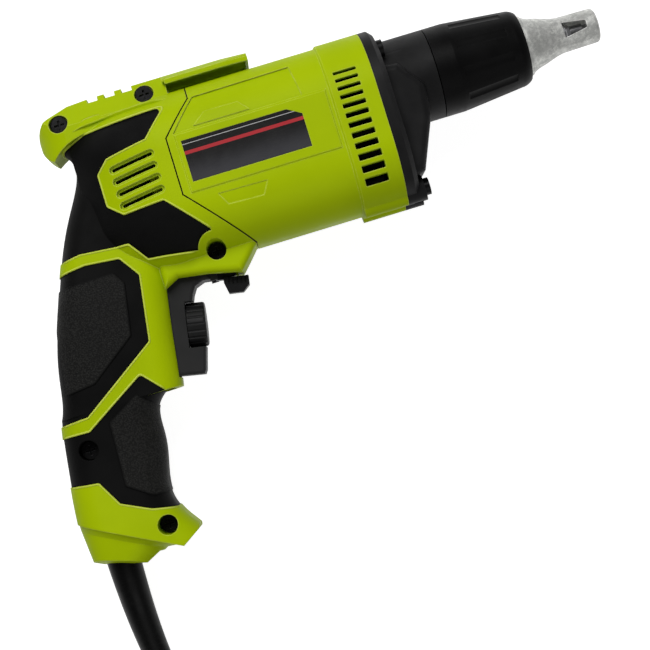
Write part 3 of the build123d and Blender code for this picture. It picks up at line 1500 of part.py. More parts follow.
with BuildPart() as drive_gear:
    with BuildSketch(station(GEAR_REAR)):
        Circle(GEAR_ROOT)
        with PolarLocations(0, GEAR_TEETH):
            Polygon(*tooth(GEAR_ROOT, GEAR_TIP, GEAR_FOOT, GEAR_CREST), align=None)
        disc(TAIL_RADIUS + RUNNING, 0, 0, Mode.SUBTRACT)
    extrude(amount=GEAR_FRONT - GEAR_REAR)
    with BuildSketch(station(GEAR_FRONT)):
        dogs(0)
    extrude(amount=DOG_HEIGHT)

with BuildPart() as clutch_plate:
    tube(CLUTCH_REAR, CLUTCH_REAR + CLUTCH_PLATE, DOG_OUTER, SPINDLE_SEAT + SEATED)
    with BuildSketch(station(CLUTCH_REAR - DOG_HEIGHT)):
        dogs(180 / DOG_COUNT)
    extrude(amount=DOG_HEIGHT)

with BuildPart() as spindle:
    bar(SPINDLE_TAIL, CLUTCH_REAR, TAIL_RADIUS)
    bar(CLUTCH_REAR, CLUTCH_REAR + CLUTCH_PLATE, SPINDLE_SEAT)
    bar(CLUTCH_REAR + CLUTCH_PLATE, SPINDLE_END, SPINDLE_RADIUS)
    with BuildSketch(station(SPINDLE_END - HEX_DEPTH)):
        RegularPolygon((HEX + HEX_PLAY) / sqrt(3), 6)
    extrude(amount=HEX_DEPTH, mode=Mode.SUBTRACT)
    with BuildSketch(station(CLIP_X)):
        disc(SPINDLE_RADIUS + OVERCUT)
        disc(SPINDLE_RADIUS - CLIP_DEPTH, 0, 0, Mode.SUBTRACT)
    extrude(amount=CLIP_WIDTH, mode=Mode.SUBTRACT)

with BuildPart() as bit_retainer:
    with BuildSketch(station(CLIP_X + SEATED)):
        disc(SPINDLE_RADIUS + CLIP_DEPTH)
        disc(SPINDLE_RADIUS - CLIP_DEPTH + SEATED, 0, 0, Mode.SUBTRACT)
        with Locations((SPINDLE_RADIUS, 0)):
            Rectangle(4 * CLIP_DEPTH, CLIP_WIDTH, mode=Mode.SUBTRACT)
    extrude(amount=CLIP_WIDTH - 2 * SEATED)

with BuildPart() as bit_holder:
    with BuildSketch(station(SPINDLE_END - HEX_DEPTH + HEX_PLAY)):
        RegularPolygon(HEX / sqrt(3), 6)
    extrude(amount=HEX_DEPTH)
    turn(
        [
            (SPINDLE_END + HEX_PLAY, 0),
            (SPINDLE_END + HEX_PLAY, HEX / 2),
            (SPINDLE_END + HOLDER_RADIUS, HOLDER_RADIUS),
            (HOLDER_END - HOLDER_BEVEL, HOLDER_RADIUS),
            (HOLDER_END, HOLDER_RADIUS - HOLDER_BEVEL),
            (HOLDER_END, 0),
        ]
    )
    with BuildSketch(station(HOLDER_END - BIT_DEPTH)):
        RegularPolygon((HEX + HEX_PLAY) / sqrt(3), 6)
    extrude(amount=BIT_DEPTH, mode=Mode.SUBTRACT)

# Cross-head bit
with BuildPart() as screwdriver_bit:
    bit_tip = NOSE_REACH - BIT_BACK
    bit_rear = bit_tip - BIT_LENGTH
    with BuildSketch(station(bit_rear)):
        RegularPolygon(HEX / sqrt(3), 6)
    extrude(amount=BIT_HEX)
    turn(
        [
            (bit_rear + BIT_HEX, 0),
            (bit_rear + BIT_HEX, BIT_SHAFT),
            (bit_tip - BIT_CONE, BIT_SHAFT),
            (bit_tip, BIT_POINT),
            (bit_tip, 0),
        ]
    )
    with BuildSketch(station(bit_tip)):
        with PolarLocations(BIT_SHAFT + BIT_CORE, 4, start_angle=45):
            Circle(BIT_SHAFT)
    extrude(amount=-BIT_CONE, mode=Mode.SUBTRACT)

# Depth collar
with BuildPart() as depth_collar:
    with BuildSketch(SIDE):
        with BuildLine():
            Polyline(
                (COLLAR_REAR, SNOUT_RADIUS + RUNNING),
                (COLLAR_REAR, COLLAR_RADIUS),
                (COLLAR_REAR + COLLAR_STRAIGHT, COLLAR_RADIUS),
                (COLLAR_SLOPE_END, COLLAR_FRONT_RADIUS),
            )
            ThreePointArc(
                (COLLAR_SLOPE_END, COLLAR_FRONT_RADIUS),
                (
                    COLLAR_SLOPE_END + COLLAR_ARC[0] * COLLAR_ROUND,
                    COLLAR_FRONT_RADIUS - COLLAR_ARC[1] * COLLAR_ROUND,
                ),
                (COLLAR_END, COLLAR_MOUTH + COLLAR_LIP),
            )
            Polyline(
                (COLLAR_END, COLLAR_MOUTH + COLLAR_LIP),
                (COLLAR_END, COLLAR_MOUTH),
                (SNOUT_END + SLIDING, COLLAR_MOUTH),
                (SNOUT_END + SLIDING, SNOUT_RADIUS + RUNNING),
                (COLLAR_REAR, SNOUT_RADIUS + RUNNING),
            )
        make_face()
    revolve(axis=Axis.X)
    # grip flutes, sunk below the tapered skin
    taper = atan2(COLLAR_RADIUS - COLLAR_FRONT_RADIUS, COLLAR_SLOPE_END - COLLAR_REAR - COLLAR_STRAIGHT)
    skin = COLLAR_RADIUS - tan(taper) * (FLUTE_REAR - COLLAR_REAR - COLLAR_STRAIGHT)
    flute_out = skin - FLUTE_DEPTH + FLUTE_RADIUS
    for number in range(COLLAR_FLUTES):
        turned = radians(number * 360 / COLLAR_FLUTES)
        start = Plane(
            origin=(JOINT_X + FLUTE_REAR, flute_out * cos(turned), flute_out * sin(turned)),
            z_dir=(cos(taper), -sin(taper) * cos(turned), -sin(taper) * sin(turned)),
        )
        with BuildSketch(start):
            Circle(FLUTE_RADIUS)
        extrude(amount=FLUTE_FRONT - FLUTE_REAR, mode=Mode.SUBTRACT)

# Nose locator: cast cone with a window on each side
with BuildPart() as nose_locator:
    with BuildSketch(SIDE):
        with BuildLine():
            Polyline(
                (NOSE_REACH - TIP_ROUND, LOCATOR_TIP),
                (WINDOW_REAR, LOCATOR_WAIST),
            )
            Spline(
                (WINDOW_REAR, LOCATOR_WAIST),
                LOCATOR_MID,
                (COLLAR_END + COLLAR_LIP, SKIRT_RADIUS),
                tangents=(WAIST_HEADING, FLARE_HEADING),
            )
            Polyline(
                (COLLAR_END + COLLAR_LIP, SKIRT_RADIUS),
                (SKIRT_REAR, SKIRT_RADIUS),
                (SKIRT_REAR, SKIRT_RADIUS - SKIRT_WALL),
                (COLLAR_END + COLLAR_LIP, SKIRT_RADIUS - SKIRT_WALL),
                (LOCATOR_THROAT, LOCATOR_BORE),
                (NOSE_REACH, LOCATOR_BORE),
                (NOSE_REACH, LOCATOR_TIP - TIP_ROUND),
            )
            ThreePointArc(
                (NOSE_REACH, LOCATOR_TIP - TIP_ROUND),
                (NOSE_REACH - TIP_ARC * TIP_ROUND, LOCATOR_TIP - TIP_ARC * TIP_ROUND),
                (NOSE_REACH - TIP_ROUND, LOCATOR_TIP),
            )
        make_face()
    revolve(axis=Axis.X)
    with BuildSketch(SIDE) as window:
        outline(
            [
                (WINDOW_REAR, WINDOW_CENTRE_Y + WINDOW_REAR_HEIGHT / 2),
                (WINDOW_REAR, WINDOW_CENTRE_Y - WINDOW_REAR_HEIGHT / 2),
                (WINDOW_FRONT, WINDOW_CENTRE_Y - WINDOW_FRONT_HEIGHT / 2),
                (WINDOW_FRONT, WINDOW_CENTRE_Y + WINDOW_FRONT_HEIGHT / 2),
            ]
        )
        fillet(window.vertices(), WINDOW_ROUND)
    extrude(amount=COLLAR_RADIUS, both=True, mode=Mode.SUBTRACT)

# Push clutch spring: square wire between gear and clutch plate
with BuildPart() as clutch_spring:
    spring_length = CLUTCH_REST
    with BuildLine():
        coil_path = Helix(
            (spring_length - SPRING_WIRE - 2 * SLIDING) / SPRING_TURNS,
            spring_length - SPRING_WIRE - 2 * SLIDING,
            SPRING_RADIUS,
            center=(JOINT_X + GEAR_FRONT + SPRING_WIRE / 2 + SLIDING, 0, 0),
            direction=(1, 0, 0),
        )
    with BuildSketch(Plane(origin=coil_path @ 0, z_dir=coil_path % 0, x_dir=(1, 0, 0))):
        Rectangle(SPRING_WIRE, SPRING_WIRE)
    sweep(path=coil_path, is_frenet=True)

# Trigger with the speed dial's pocket
with BuildPart() as trigger:
    with BuildSketch(pull_plane()):
        outline(TRIGGER_LINE + [(TRIGGER_REAR, TRIGGER_LOW), (TRIGGER_REAR, TRIGGER_HIGH)])
    extrude(amount=TRIGGER_HALF_WIDTH, both=True)
    front = trigger.faces().sort_by(Axis.Z)
    long_edges = (front[0].edges() + front[-1].edges()).filter_by(
        lambda edge: pull_plane().to_local_coords(edge.center()).X > TRIGGER_REAR + TRIGGER_ROUND
    )
    fillet(long_edges, TRIGGER_ROUND)
    # hollow back
    swept_box(
        block(TRIGGER_REAR, TRIGGER_LOW + TRIGGER_WALL, TRIGGER_HOLLOW, TRIGGER_HIGH - TRIGGER_WALL),
        TRIGGER_WALL - TRIGGER_HALF_WIDTH,
        TRIGGER_HALF_WIDTH - TRIGGER_WALL,
        Mode.SUBTRACT,
    )
    # dial pocket, open to the front and to both sides
    swept_box(
        block(
            DIAL_BACK - SLIDING,
            DIAL_CENTRE - DIAL_RADIUS - SLIDING,
            DIAL_FRONT + DIAL_RADIUS,
            DIAL_CENTRE + DIAL_RADIUS + SLIDING,
        ),
        -REACH,
        REACH,
        Mode.SUBTRACT,
    )
    with BuildSketch(pull_axis_plane(TRIGGER_HOLLOW, DIAL_CENTRE)):
        Circle(AXLE_RADIUS)
    extrude(amount=DIAL_FRONT - DIAL_CAP - TRIGGER_HOLLOW)
    with BuildSketch(pull_axis_plane(TRIGGER_HOLLOW, DIAL_CENTRE)):
        Circle(STEM_RADIUS)
    extrude(amount=STEM_REAR - TRIGGER_HOLLOW)

with BuildPart() as speed_dial:
    dial_back = pull_axis_plane(DIAL_BACK, DIAL_CENTRE)
    with BuildSketch(dial_back):
        Circle(DIAL_RADIUS)
    extrude(amount=DIAL_FRONT - DIAL_BACK)
    dial_face = speed_dial.faces().sort_by(Axis(dial_back.origin, dial_back.z_dir))[-1]
    fillet(dial_face.edges(), DIAL_EDGE)
    with BuildSketch(dial_back):
        with PolarLocations(DIAL_RADIUS + DIAL_FLUTE / 2, DIAL_FLUTES):
            Circle(DIAL_FLUTE)
    extrude(amount=DIAL_FRONT - DIAL_BACK, mode=Mode.SUBTRACT)
    with BuildSketch(dial_back):
        Circle(AXLE_RADIUS + RUNNING)
    extrude(amount=DIAL_FRONT - DIAL_CAP - DIAL_BACK + SLIDING, mode=Mode.SUBTRACT)

with BuildPart() as switch_body:
    swept_box(
        block(SWITCH_REAR, SWITCH_LOW, SWITCH_FRONT, LEDGE_HIGH),
        -SWITCH_HALF_WIDTH,
        SWITCH_HALF_WIDTH,
    )
    swept_box(
        block(SWITCH_FRONT, LEDGE_LOW, LEDGE_FRONT, LEDGE_HIGH),
        -SWITCH_HALF_WIDTH,
        SWITCH_HALF_WIDTH,
    )
    with BuildSketch(pull_axis_plane(SWITCH_FRONT, DIAL_CENTRE)):
        Circle(STEM_RADIUS + SLIDING)
    extrude(amount=SWITCH_BORE - SWITCH_FRONT, mode=Mode.SUBTRACT)
    with BuildSketch(lever_axis_plane(LEDGE_HIGH)):
        Circle(PIVOT_RADIUS)
    extrude(amount=LEVER_HIGH - LEDGE_HIGH)
    # spade terminals at the back
    terminal_low = SWITCH_LOW + TERMINAL
    for side in (1, -1):
        swept_box(
            block(SWITCH_REAR - TERMINAL, terminal_low, SWITCH_REAR, terminal_low + TERMINAL_THICK),
            side * TERMINAL - TERMINAL_HALF,
            side * TERMINAL + TERMINAL_HALF,
        )

# Knob of the reversing lever, with upright grooves on both sides
with BuildPart() as knob:
    heel_a, heel_b = KNOB_HEEL
    beak_a, beak_b = KNOB_BEAK
    swept_box(
        [
            (KNOB_REAR, KNOB_HIGH),
            (KNOB_REAR, heel_b),
            (heel_a, KNOB_LOW),
            (beak_a, KNOB_LOW),
            (KNOB_FRONT, beak_b),
            (KNOB_FRONT, KNOB_HIGH),
        ],
        -KNOB_HALF_WIDTH,
        KNOB_HALF_WIDTH,
    )
    with BuildSketch(pull_axis_plane(KNOB_REAR, KNOB_LOW)):
        outline(
            [
                (KNOB_HALF_WIDTH, KNOB_LOW - KNOB_HIGH),
                (KNOB_HALF_WIDTH, KNOB_LOW - KNOB_CREASE),
                (KNOB_TOE, 0),
                (-KNOB_TOE, 0),
                (-KNOB_HALF_WIDTH, KNOB_LOW - KNOB_CREASE),
                (-KNOB_HALF_WIDTH, KNOB_LOW - KNOB_HIGH),
            ]
        )
    extrude(amount=KNOB_FRONT - KNOB_REAR, mode=Mode.INTERSECT)
    for number in range(KNOB_RIBS):
        groove = KNOB_FRONT - RIB_PITCH * (number + 1)
        for side in (1, -1):
            swept_box(
                block(groove, KNOB_CREASE + RIB_GROOVE, groove + RIB_GROOVE, KNOB_HIGH),
                side * (KNOB_HALF_WIDTH - RIB_GROOVE),
                side * KNOB_HALF_WIDTH,
                Mode.SUBTRACT,
            )

with BuildPart() as reverse_lever:
    swept_box(LEVER_LINE, -LEVER_HALF_WIDTH, LEVER_HALF_WIDTH)
    with BuildSketch(lever_axis_plane(LEVER_LOW)):
        Circle(LEVER_HUB)
    extrude(amount=LEVER_HIGH - LEVER_LOW)
    add(knob.part)
    with BuildSketch(lever_axis_plane(LEVER_LOW)):
        Circle(PIVOT_RADIUS + RUNNING)
    extrude(amount=LEVER_HIGH - LEVER_LOW, mode=Mode.SUBTRACT)

with BuildPart() as lock_button:
    button_x, button_y = BUTTON_POINT
    with BuildSketch(Plane(origin=(JOINT_X + button_x, button_y, -BUTTON_OUT))):
        Circle(BUTTON_RADIUS)
    extrude(amount=BUTTON_OUT - BUTTON_IN)
    fillet(lock_button.faces().sort_by(Axis.Z)[0].edges(), BUTTON_EDGE)
    with BuildSketch(Plane(origin=(JOINT_X + button_x, button_y, -BUTTON_IN))):
        Circle(BUTTON_RADIUS + BUTTON_FLANGE)
    extrude(amount=BUTTON_FLANGE_THICK)

# Strain relief in the base
with BuildPart() as cable_clamp:
    with BuildSketch(Plane(origin=(JOINT_X, 0, CORD_RADIUS + SEATED))):
        with Locations((GUARD_X, CLAMP_Y)):
            SlotCenterToCenter(2 * CLAMP_SPREAD, 2 * CLAMP_POST)
            with Locations((CLAMP_SPREAD, 0), (-CLAMP_SPREAD, 0)):
                Circle(CLAMP_SCREW + SCREW_BORE_PLAY, mode=Mode.SUBTRACT)
    extrude(amount=CLAMP_THICK)

with BuildPart() as clamp_screws:
    clamp_top = CORD_RADIUS + SEATED + CLAMP_THICK
    for side in (1, -1):
        with BuildSketch(Plane(origin=(JOINT_X + GUARD_X + side * CLAMP_SPREAD, CLAMP_Y, clamp_top))):
            Circle(CLAMP_SCREW)
        extrude(amount=-CLAMP_SCREW_REACH)
        with BuildSketch(Plane(origin=(JOINT_X + GUARD_X + side * CLAMP_SPREAD, CLAMP_Y, clamp_top))):
            Circle(CLAMP_POST - SEATED)
            Rectangle(CLAMP_SLOT, CLAMP_SLOT_WIDTH, mode=Mode.SUBTRACT)
        extrude(amount=CLAMP_SCREW)

# Cord inside the base and the bend guard
with BuildPart() as cord_inner:
    with BuildLine():
        inner_path = cord_route(INNER_ROUTE)
    with BuildSketch(Plane(origin=inner_path @ 0, z_dir=inner_path % 0)):
        Circle(CORD_RADIUS)
    sweep(path=inner_path)

with BuildPart() as guard_bore:
    with BuildLine():
        bore_path = cord_route(INNER_ROUTE)
    with BuildSketch(Plane(origin=bore_path @ 0, z_dir=bore_path % 0)):
        Circle(CORD_RADIUS + SEATED)
    sweep(path=bore_path)

with BuildPart() as cord_guard:
    guard_start = (INNER_ROUTE[0][1] - GUARD_NECK_Y) / inner_path.length
    for number in range(GUARD_SECTIONS):
        share = number / (GUARD_SECTIONS - 1)
        along = guard_start + (1 - guard_start) * share
        with BuildSketch(Plane(origin=inner_path @ along, z_dir=inner_path % along, x_dir=(1, 0, 0))):
            Circle(GUARD_RADIUS + (GUARD_END_RADIUS - GUARD_RADIUS) * share)
    loft()
    with BuildSketch(level(GUARD_TOP_Y)):
        with Locations((GUARD_X, 0)):
            Circle(GUARD_FLANGE)
    extrude(amount=GUARD_TOP_Y - GUARD_NECK_Y)
    add(guard_bore.part, mode=Mode.SUBTRACT)

# Free cord: lead to the coil, the coil itself and the tail to the plug
with BuildPart() as cord_lead:
    with BuildLine():
        lead_path = cord_route(LEAD_ROUTE)
    with BuildSketch(Plane(origin=lead_path @ 0, z_dir=lead_path % 0)):
        Circle(CORD_RADIUS)
    sweep(path=lead_path)

with BuildPart() as cord_coil:
    last_turn = COIL_QUARTERS / 4
    straight = 2 * CORD_RADIUS
    with BuildLine() as coil_line:
        Line(coil_point(0) - coil_heading(0) * straight, coil_point(0))
        for quarter in range(COIL_QUARTERS):
            here = quarter / 4
            after = here + 1 / 4
            biarc(coil_point(here), coil_heading(here), coil_point(after), coil_heading(after))
        Line(coil_point(last_turn), coil_point(last_turn) + coil_heading(last_turn) * straight)
    coil_path = coil_line.wires()[0]
    with BuildSketch(Plane(origin=coil_path @ 0, z_dir=coil_heading(0), x_dir=(1, 0, 0))):
        RegularPolygon(CORD_RADIUS, COIL_SIDES)
    sweep(path=coil_path)

# Least gap between turns of the coil, on points along it
points_per_turn = 40
spot_count = int(points_per_turn * last_turn)
coil_spots = [coil_path @ (number / spot_count) for number in range(spot_count)]
coil_gap = min(
    (spot - other).length
    for number, spot in enumerate(coil_spots)
    for other in coil_spots[number + points_per_turn // 2 :]
)
print("coil gap", round(coil_gap - 2 * CORD_RADIUS, 2), "coil length", round(coil_path.length))

with BuildPart() as cord_tail:
    with BuildLine():
        tail_path = cord_route(TAIL_ROUTE)
    with BuildSketch(Plane(origin=tail_path @ 0, z_dir=tail_path % 0)):
        Circle(CORD_RADIUS)
    sweep(path=tail_path)
print("cord length", round(coil_path.length + lead_path.length + tail_path.length + inner_path.length))

# Strap round the coil's turns
with BuildPart() as cord_tie:
    offsets = [number + ((TIE_ANGLE - COIL_START) / 360) % 1 for number in range(ceil(last_turn))]
    crossings = [coil_reach(turns) for turns in offsets if turns <= last_turn]
    tie_inner = min(crossings) - CORD_RADIUS - TIE_PLAY
    tie_outer = max(crossings) + CORD_RADIUS + TIE_PLAY
    tie_low = FLOOR_Z + TIE_THICK
    tie_high = COIL_Z + COIL_PITCH + CORD_RADIUS + SLIDING
    toward = radians(TIE_ANGLE)
    across = Plane(
        origin=(JOINT_X + COIL_X, COIL_Y, 0),
        x_dir=(cos(toward), sin(toward), 0),
        z_dir=(sin(toward), -cos(toward), 0),
    )
    with BuildSketch(across):
        outline(
            block(
                tie_inner - TIE_THICK,
                tie_low - TIE_THICK,
                tie_outer + TIE_THICK,
                tie_high + TIE_THICK,
            )
        )
    extrude(amount=TIE_WIDTH / 2, both=True)
    with BuildSketch(across):
        outline(block(tie_inner, tie_low, tie_outer, tie_high))
    extrude(amount=TIE_WIDTH, both=True, mode=Mode.SUBTRACT)

# Two-pin plug, lying flat
plug_ahead = tail_path % 1
plug_rear = Plane(origin=tail_path @ 1, x_dir=(-plug_ahead.Y, plug_ahead.X, 0), z_dir=plug_ahead)

with BuildPart() as plug_body:
    with BuildSketch(plug_rear):
        Circle(PLUG_NECK_START)
    with BuildSketch(plug_rear.offset(PLUG_NECK)):
        Circle(PLUG_NECK_END)
    loft()
    with BuildSketch(plug_rear.offset(PLUG_NECK)):
        RectangleRounded(PLUG_REAR_WIDTH, PLUG_REAR_THICK, PLUG_REAR_CORNER)
    with BuildSketch(plug_rear.offset(PLUG_NECK + PLUG_SHOULDER)):
        RectangleRounded(PLUG_WIDTH, PLUG_THICK, PLUG_CORNER)
    loft()
    with BuildSketch(plug_rear.offset(PLUG_NECK + PLUG_SHOULDER)):
        RectangleRounded(PLUG_WIDTH, PLUG_THICK, PLUG_CORNER)
    extrude(amount=PLUG_DEPTH)

with BuildPart() as plug_pins:
    with BuildSketch(plug_rear.offset(PLUG_NECK + PLUG_SHOULDER + PLUG_DEPTH)):
        with Locations((PIN_SPREAD, 0), (-PIN_SPREAD, 0)):
            Circle(PIN_RADIUS)
    extrude(amount=PIN_LENGTH)
    fillet(plug_pins.faces().sort_by(Axis((0, 0, 0), plug_ahead))[-2:].edges(), PIN_RADIUS / 2)

# Labels and files
NODES = {
    "handle_shell_right": handle_shell_right,
    "handle_shell_left": handle_shell_left,
    "soft_grip_right": soft_grip_right,
    "soft_grip_left": soft_grip_left,
    "shell_screws": shell_screws,
    "motor_housing": motor_housing,
    "rating_plate": rating_plate,
    "stator_core": stator_core,
    "field_coils": field_coils,
    "armature_shaft": armature_shaft,
    "armature_core": armature_core,
    "armature_winding": armature_winding,
    "commutator": commutator,
    "cooling_fan": cooling_fan,
    "rear_bearing": rear_bearing,
    "front_bearing": front_bearing,
    "brush_holders": brush_holders,
    "carbon_brushes": carbon_brushes,
    "fan_baffle": fan_baffle,
    "bearing_plate": bearing_plate,
    "rear_spindle_bush": rear_spindle_bush,
    "gear_case": gear_case,
    "gear_case_screws": gear_case_screws,
    "spindle_bush": spindle_bush,
    "dust_seal": dust_seal,
    "drive_gear": drive_gear,
    "clutch_plate": clutch_plate,
    "spindle": spindle,
    "bit_retainer": bit_retainer,
    "bit_holder": bit_holder,
    "screwdriver_bit": screwdriver_bit,
    "depth_collar": depth_collar,
    "nose_locator": nose_locator,
    "clutch_spring": clutch_spring,
    "trigger": trigger,
    "speed_dial": speed_dial,
    "switch_body": switch_body,
    "reverse_lever": reverse_lever,
    "lock_button": lock_button,
    "cable_clamp": cable_clamp,
    "clamp_screws": clamp_screws,
    "cord_inner": cord_inner,
    "cord_guard": cord_guard,
    "cord_lead": cord_lead,
    "cord_coil": cord_coil,
    "cord_tail": cord_tail,
    "cord_tie": cord_tie,
    "plug_body": plug_body,
    "plug_pins": plug_pins,
}
os.makedirs("parts", exist_ok=True)
for name, piece in NODES.items():
    piece.part.label = name
    export_step(piece.part, f"parts/{name}.step")
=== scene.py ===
import math

import bmesh
import bpy
from mathutils import Matrix, Vector


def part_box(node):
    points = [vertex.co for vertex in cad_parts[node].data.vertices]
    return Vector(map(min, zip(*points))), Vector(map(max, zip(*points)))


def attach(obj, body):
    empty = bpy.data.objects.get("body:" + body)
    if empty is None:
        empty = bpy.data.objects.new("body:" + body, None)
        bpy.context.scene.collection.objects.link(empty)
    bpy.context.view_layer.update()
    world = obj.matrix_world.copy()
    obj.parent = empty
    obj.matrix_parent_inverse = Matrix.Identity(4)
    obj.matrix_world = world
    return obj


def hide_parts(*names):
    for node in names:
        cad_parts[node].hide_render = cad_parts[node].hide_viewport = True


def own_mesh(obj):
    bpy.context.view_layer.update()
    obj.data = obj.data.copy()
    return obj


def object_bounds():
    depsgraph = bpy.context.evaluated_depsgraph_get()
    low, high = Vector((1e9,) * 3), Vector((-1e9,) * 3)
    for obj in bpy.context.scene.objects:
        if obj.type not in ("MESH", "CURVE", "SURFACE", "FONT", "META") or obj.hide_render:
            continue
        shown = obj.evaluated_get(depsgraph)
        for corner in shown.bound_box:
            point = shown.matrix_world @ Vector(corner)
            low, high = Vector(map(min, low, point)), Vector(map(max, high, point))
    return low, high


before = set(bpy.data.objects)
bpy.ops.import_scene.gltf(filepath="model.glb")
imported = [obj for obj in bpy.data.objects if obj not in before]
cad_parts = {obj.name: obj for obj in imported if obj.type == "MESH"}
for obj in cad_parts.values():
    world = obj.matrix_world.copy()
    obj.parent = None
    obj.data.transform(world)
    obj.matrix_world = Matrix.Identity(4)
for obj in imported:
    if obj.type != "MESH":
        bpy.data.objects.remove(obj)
CAD_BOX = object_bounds()

# Drywall screwdriver lying on its left side on a pale floor.
# Lengths below are millimetres, with x measured forward from the joint between motor housing
# and gear case, y to the tool's top and z to its right side.
MM = 0.001
JOINT_X = -104.0

# Camera, as the photograph was taken: nearly straight down, with the nose tilted up to the right
CAMERA_FOOT = (-74.7, -125.3)
CAMERA_HEIGHT = 780.0
CAMERA_AIM = (-49.91, -92.3)
CAMERA_LENS = 98.67
CAMERA_SENSOR = 36.0
IMAGE_RIGHT = Vector((0.9559, -0.2938, 0.0))
IMAGE_UP = Vector((0.2938, 0.9559, 0.0))

# Mains lead: routes from the clamp to the guard's end, from there to the coil, and to the plug
CORD_RADIUS = 3.5
CORD_ROUNDNESS = 5
CORD_SMOOTHNESS = 8
INNER_ROUTE = [
    (-163.5, -130.0, 0.0),
    (-163.5, -170.0, 0.0),
    (-163.6, -188.0, -4.0),
    (-162.9, -205.5, -10.0),
    (-161.0, -223.0, -17.0),
]
LEAD_ROUTE = [
    (-161.0, -223.0, -17.0),
    (-158.91, -242.25, -24.7),
    (-157.6, -266.2, -27.5),
    (-157.6, -289.0, -27.5),
]
TAIL_ROUTE = [
    (-92.0, -356.5, -19.9),
    (-74.0, -356.5, -19.9),
    (-54.0, -355.5, -25.0),
    (-33.0, -353.0, -28.0),
    (-13.0, -348.5, -24.5),
    (5.0, -343.0, -23.0),
    (19.0, -338.0, -23.0),
]
COIL_CENTRE = (-99.0, -296.0)
COIL_Z = -27.5
COIL_TURNS = 8.25
COIL_REVERSE = 4.0
COIL_INNER = 28.2
COIL_PITCH = 7.6
COIL_CLIMB = 0.5
COIL_POINTS = 24

# Clutch spring: its wire's radius, its turns, and how finely its helix is built
SPRING_WIRE = 0.4
SPRING_TURNS = 2.5
SPRING_SIDES = 10
SPRING_STEPS = 90

# Distances beside and above the axis from which rays look for the tool's skin
SIDE_RAY = 80.0
TOP_RAY = 60.0

# Screws that sit in the soft grips, whose overmoulding lines their recesses
GRIP_SCREWS = [(-138.8, -25.6), (-162.8, -114.8)]
LINED_RADIUS = 5.2
LINED_SOFT = 0.3

# Open line between the handle shells and the motor housing, and half the width of the painted shade
# along its edges
SEAM_LINE = [(-78.5, 24.0), (-78.5, 16.5), (-92.0, 1.5), (-92.0, -23.5), (-68.0, -50.0)]
SEAM_HALF = 0.36
SEAM_SOFT = 0.12

# Dark strip in the seam's top, a little under the housing's skin, put in as painted shade
SHADE_STRIP_HALF = 0.11
SHADE_STRIP_SUNK = 0.3
SHADE_STRIP_DEPTH = 4.5
SHADE_STRIP_REACH = 20

# Belt hook: rim under its edge, and the matte face between the rims
HOOK_RIM_OUTER = [(-86.0, 13.06), (-60.0, 13.06), (-48.44, 11.06)]
HOOK_RIM_INNER = [(-86.0, 11.8), (-60.1, 11.8), (-49.7, 10.0)]
HOOK_RIM_LOW = 27.45
HOOK_RIM_HIGH = 29.55
HOOK_FACE = 28.5
HOOK_SUNK = 28.65

# Ridge along the rail: its route, and its section as reach up the skin and lift off it.
# Neighbours on each side share a normal, and the ends grow from a tip by a share at each step.
RIDGE_ROUTE = [(-131.0, 18.4), (-126.0, 19.3), (-119.0, 19.8), (-86.0, 19.7)]
RIDGE_STEP = 1.0
RIDGE_SUNK = 0.4
RIDGE_SECTION = [(3.2, -0.3), (0.4, 1.35), (0.0, 1.3), (-0.35, -0.2), (0.5, -0.5)]
RIDGE_NEAR = 4
RIDGE_TIP = 0.15
RIDGE_GROWTH = 0.12

# Lever's slot in the chin: short walls in front of the trigger, and the lever's shield in the slot
SLOT_WALL_ENDS = (-91.95, -88.7)
SLOT_WALL_SIDES = (6.5, 7.9)
SLOT_WALL_HEIGHTS = (-59.9, -47.5)
SHIELD_ENDS = (-87.6, -80.6)
SHIELD_HALF = 2.8
SHIELD_HEIGHTS = (-59.9, -52.5)

# Outlines of the three grips on each side, with their corners' radius
GRIP_OUTLINES = [
    [
        (-165.0, 6.5),
        (-141.0, 6.8),
        (-136.5, 12.2),
        (-126.0, 15.8),
        (-89.4, 16.2),
        (-100.6, 4.2),
        (-119.2, 1.8),
        (-125.0, -3.4),
        (-125.0, -17.8),
        (-118.7, -23.6),
        (-100.6, -23.2),
        (-84.5, -40.7),
        (-91.0, -46.9),
        (-114.3, -43.7),
        (-120.5, -35.3),
        (-142.0, -33.3),
        (-165.0, -35.6),
    ],
    [
        (-175.0, -41.5),
        (-141.3, -38.7),
        (-126.6, -40.1),
        (-120.4, -49.1),
        (-124.6, -77.6),
        (-158.9, -101.1),
        (-185.0, -102.4),
    ],
    [
        (-185.0, -106.6),
        (-159.9, -107.5),
        (-132.4, -90.3),
        (-123.0, -100.6),
        (-115.0, -104.0),
        (-115.0, -149.6),
        (-132.4, -148.8),
        (-143.7, -146.2),
        (-156.0, -140.3),
        (-162.3, -129.3),
        (-185.0, -126.6),
    ],
]
GRIP_CORNER = 1.6

# Moulded lip that frames the grips, with its ends made as the ridge's are. It is left out where the
# skin turns away from the side, and where too few points follow each other.
LIP_AWAY = 0.45
LIP_HALF = 0.45
LIP_RISE = 0.4
LIP_SUNK = 0.15
LIP_STEP = 0.8
LIP_SIDES = 6
LIP_BEND_STEPS = 4
LIP_NEAR = 2
LIP_TIP = 0.25
LIP_GROWTH = 0.25
LIP_LEAST_FACING = 0.3
LIP_LEAST_POINTS = 9

# Screw boss in the chin, where the lip of the upper grip stops
BOSS_CENTRE = (-85.5, -48.3)
BOSS_RADIUS = 8.2

# Raised panels of the two handle grips, seen from the side
REAR_PANEL = [
    (-160.0, -45.5),
    (-130.5, -45.0),
    (-127.2, -50.5),
    (-131.0, -73.0),
    (-152.0, -88.5),
    (-166.0, -90.0),
]
LOWER_PANEL = [
    (-151.0, -105.8),
    (-136.5, -97.5),
    (-129.5, -104.0),
    (-120.0, -142.0),
    (-141.5, -141.2),
    (-152.0, -134.0),
]
PANEL_SOFT = 1.2

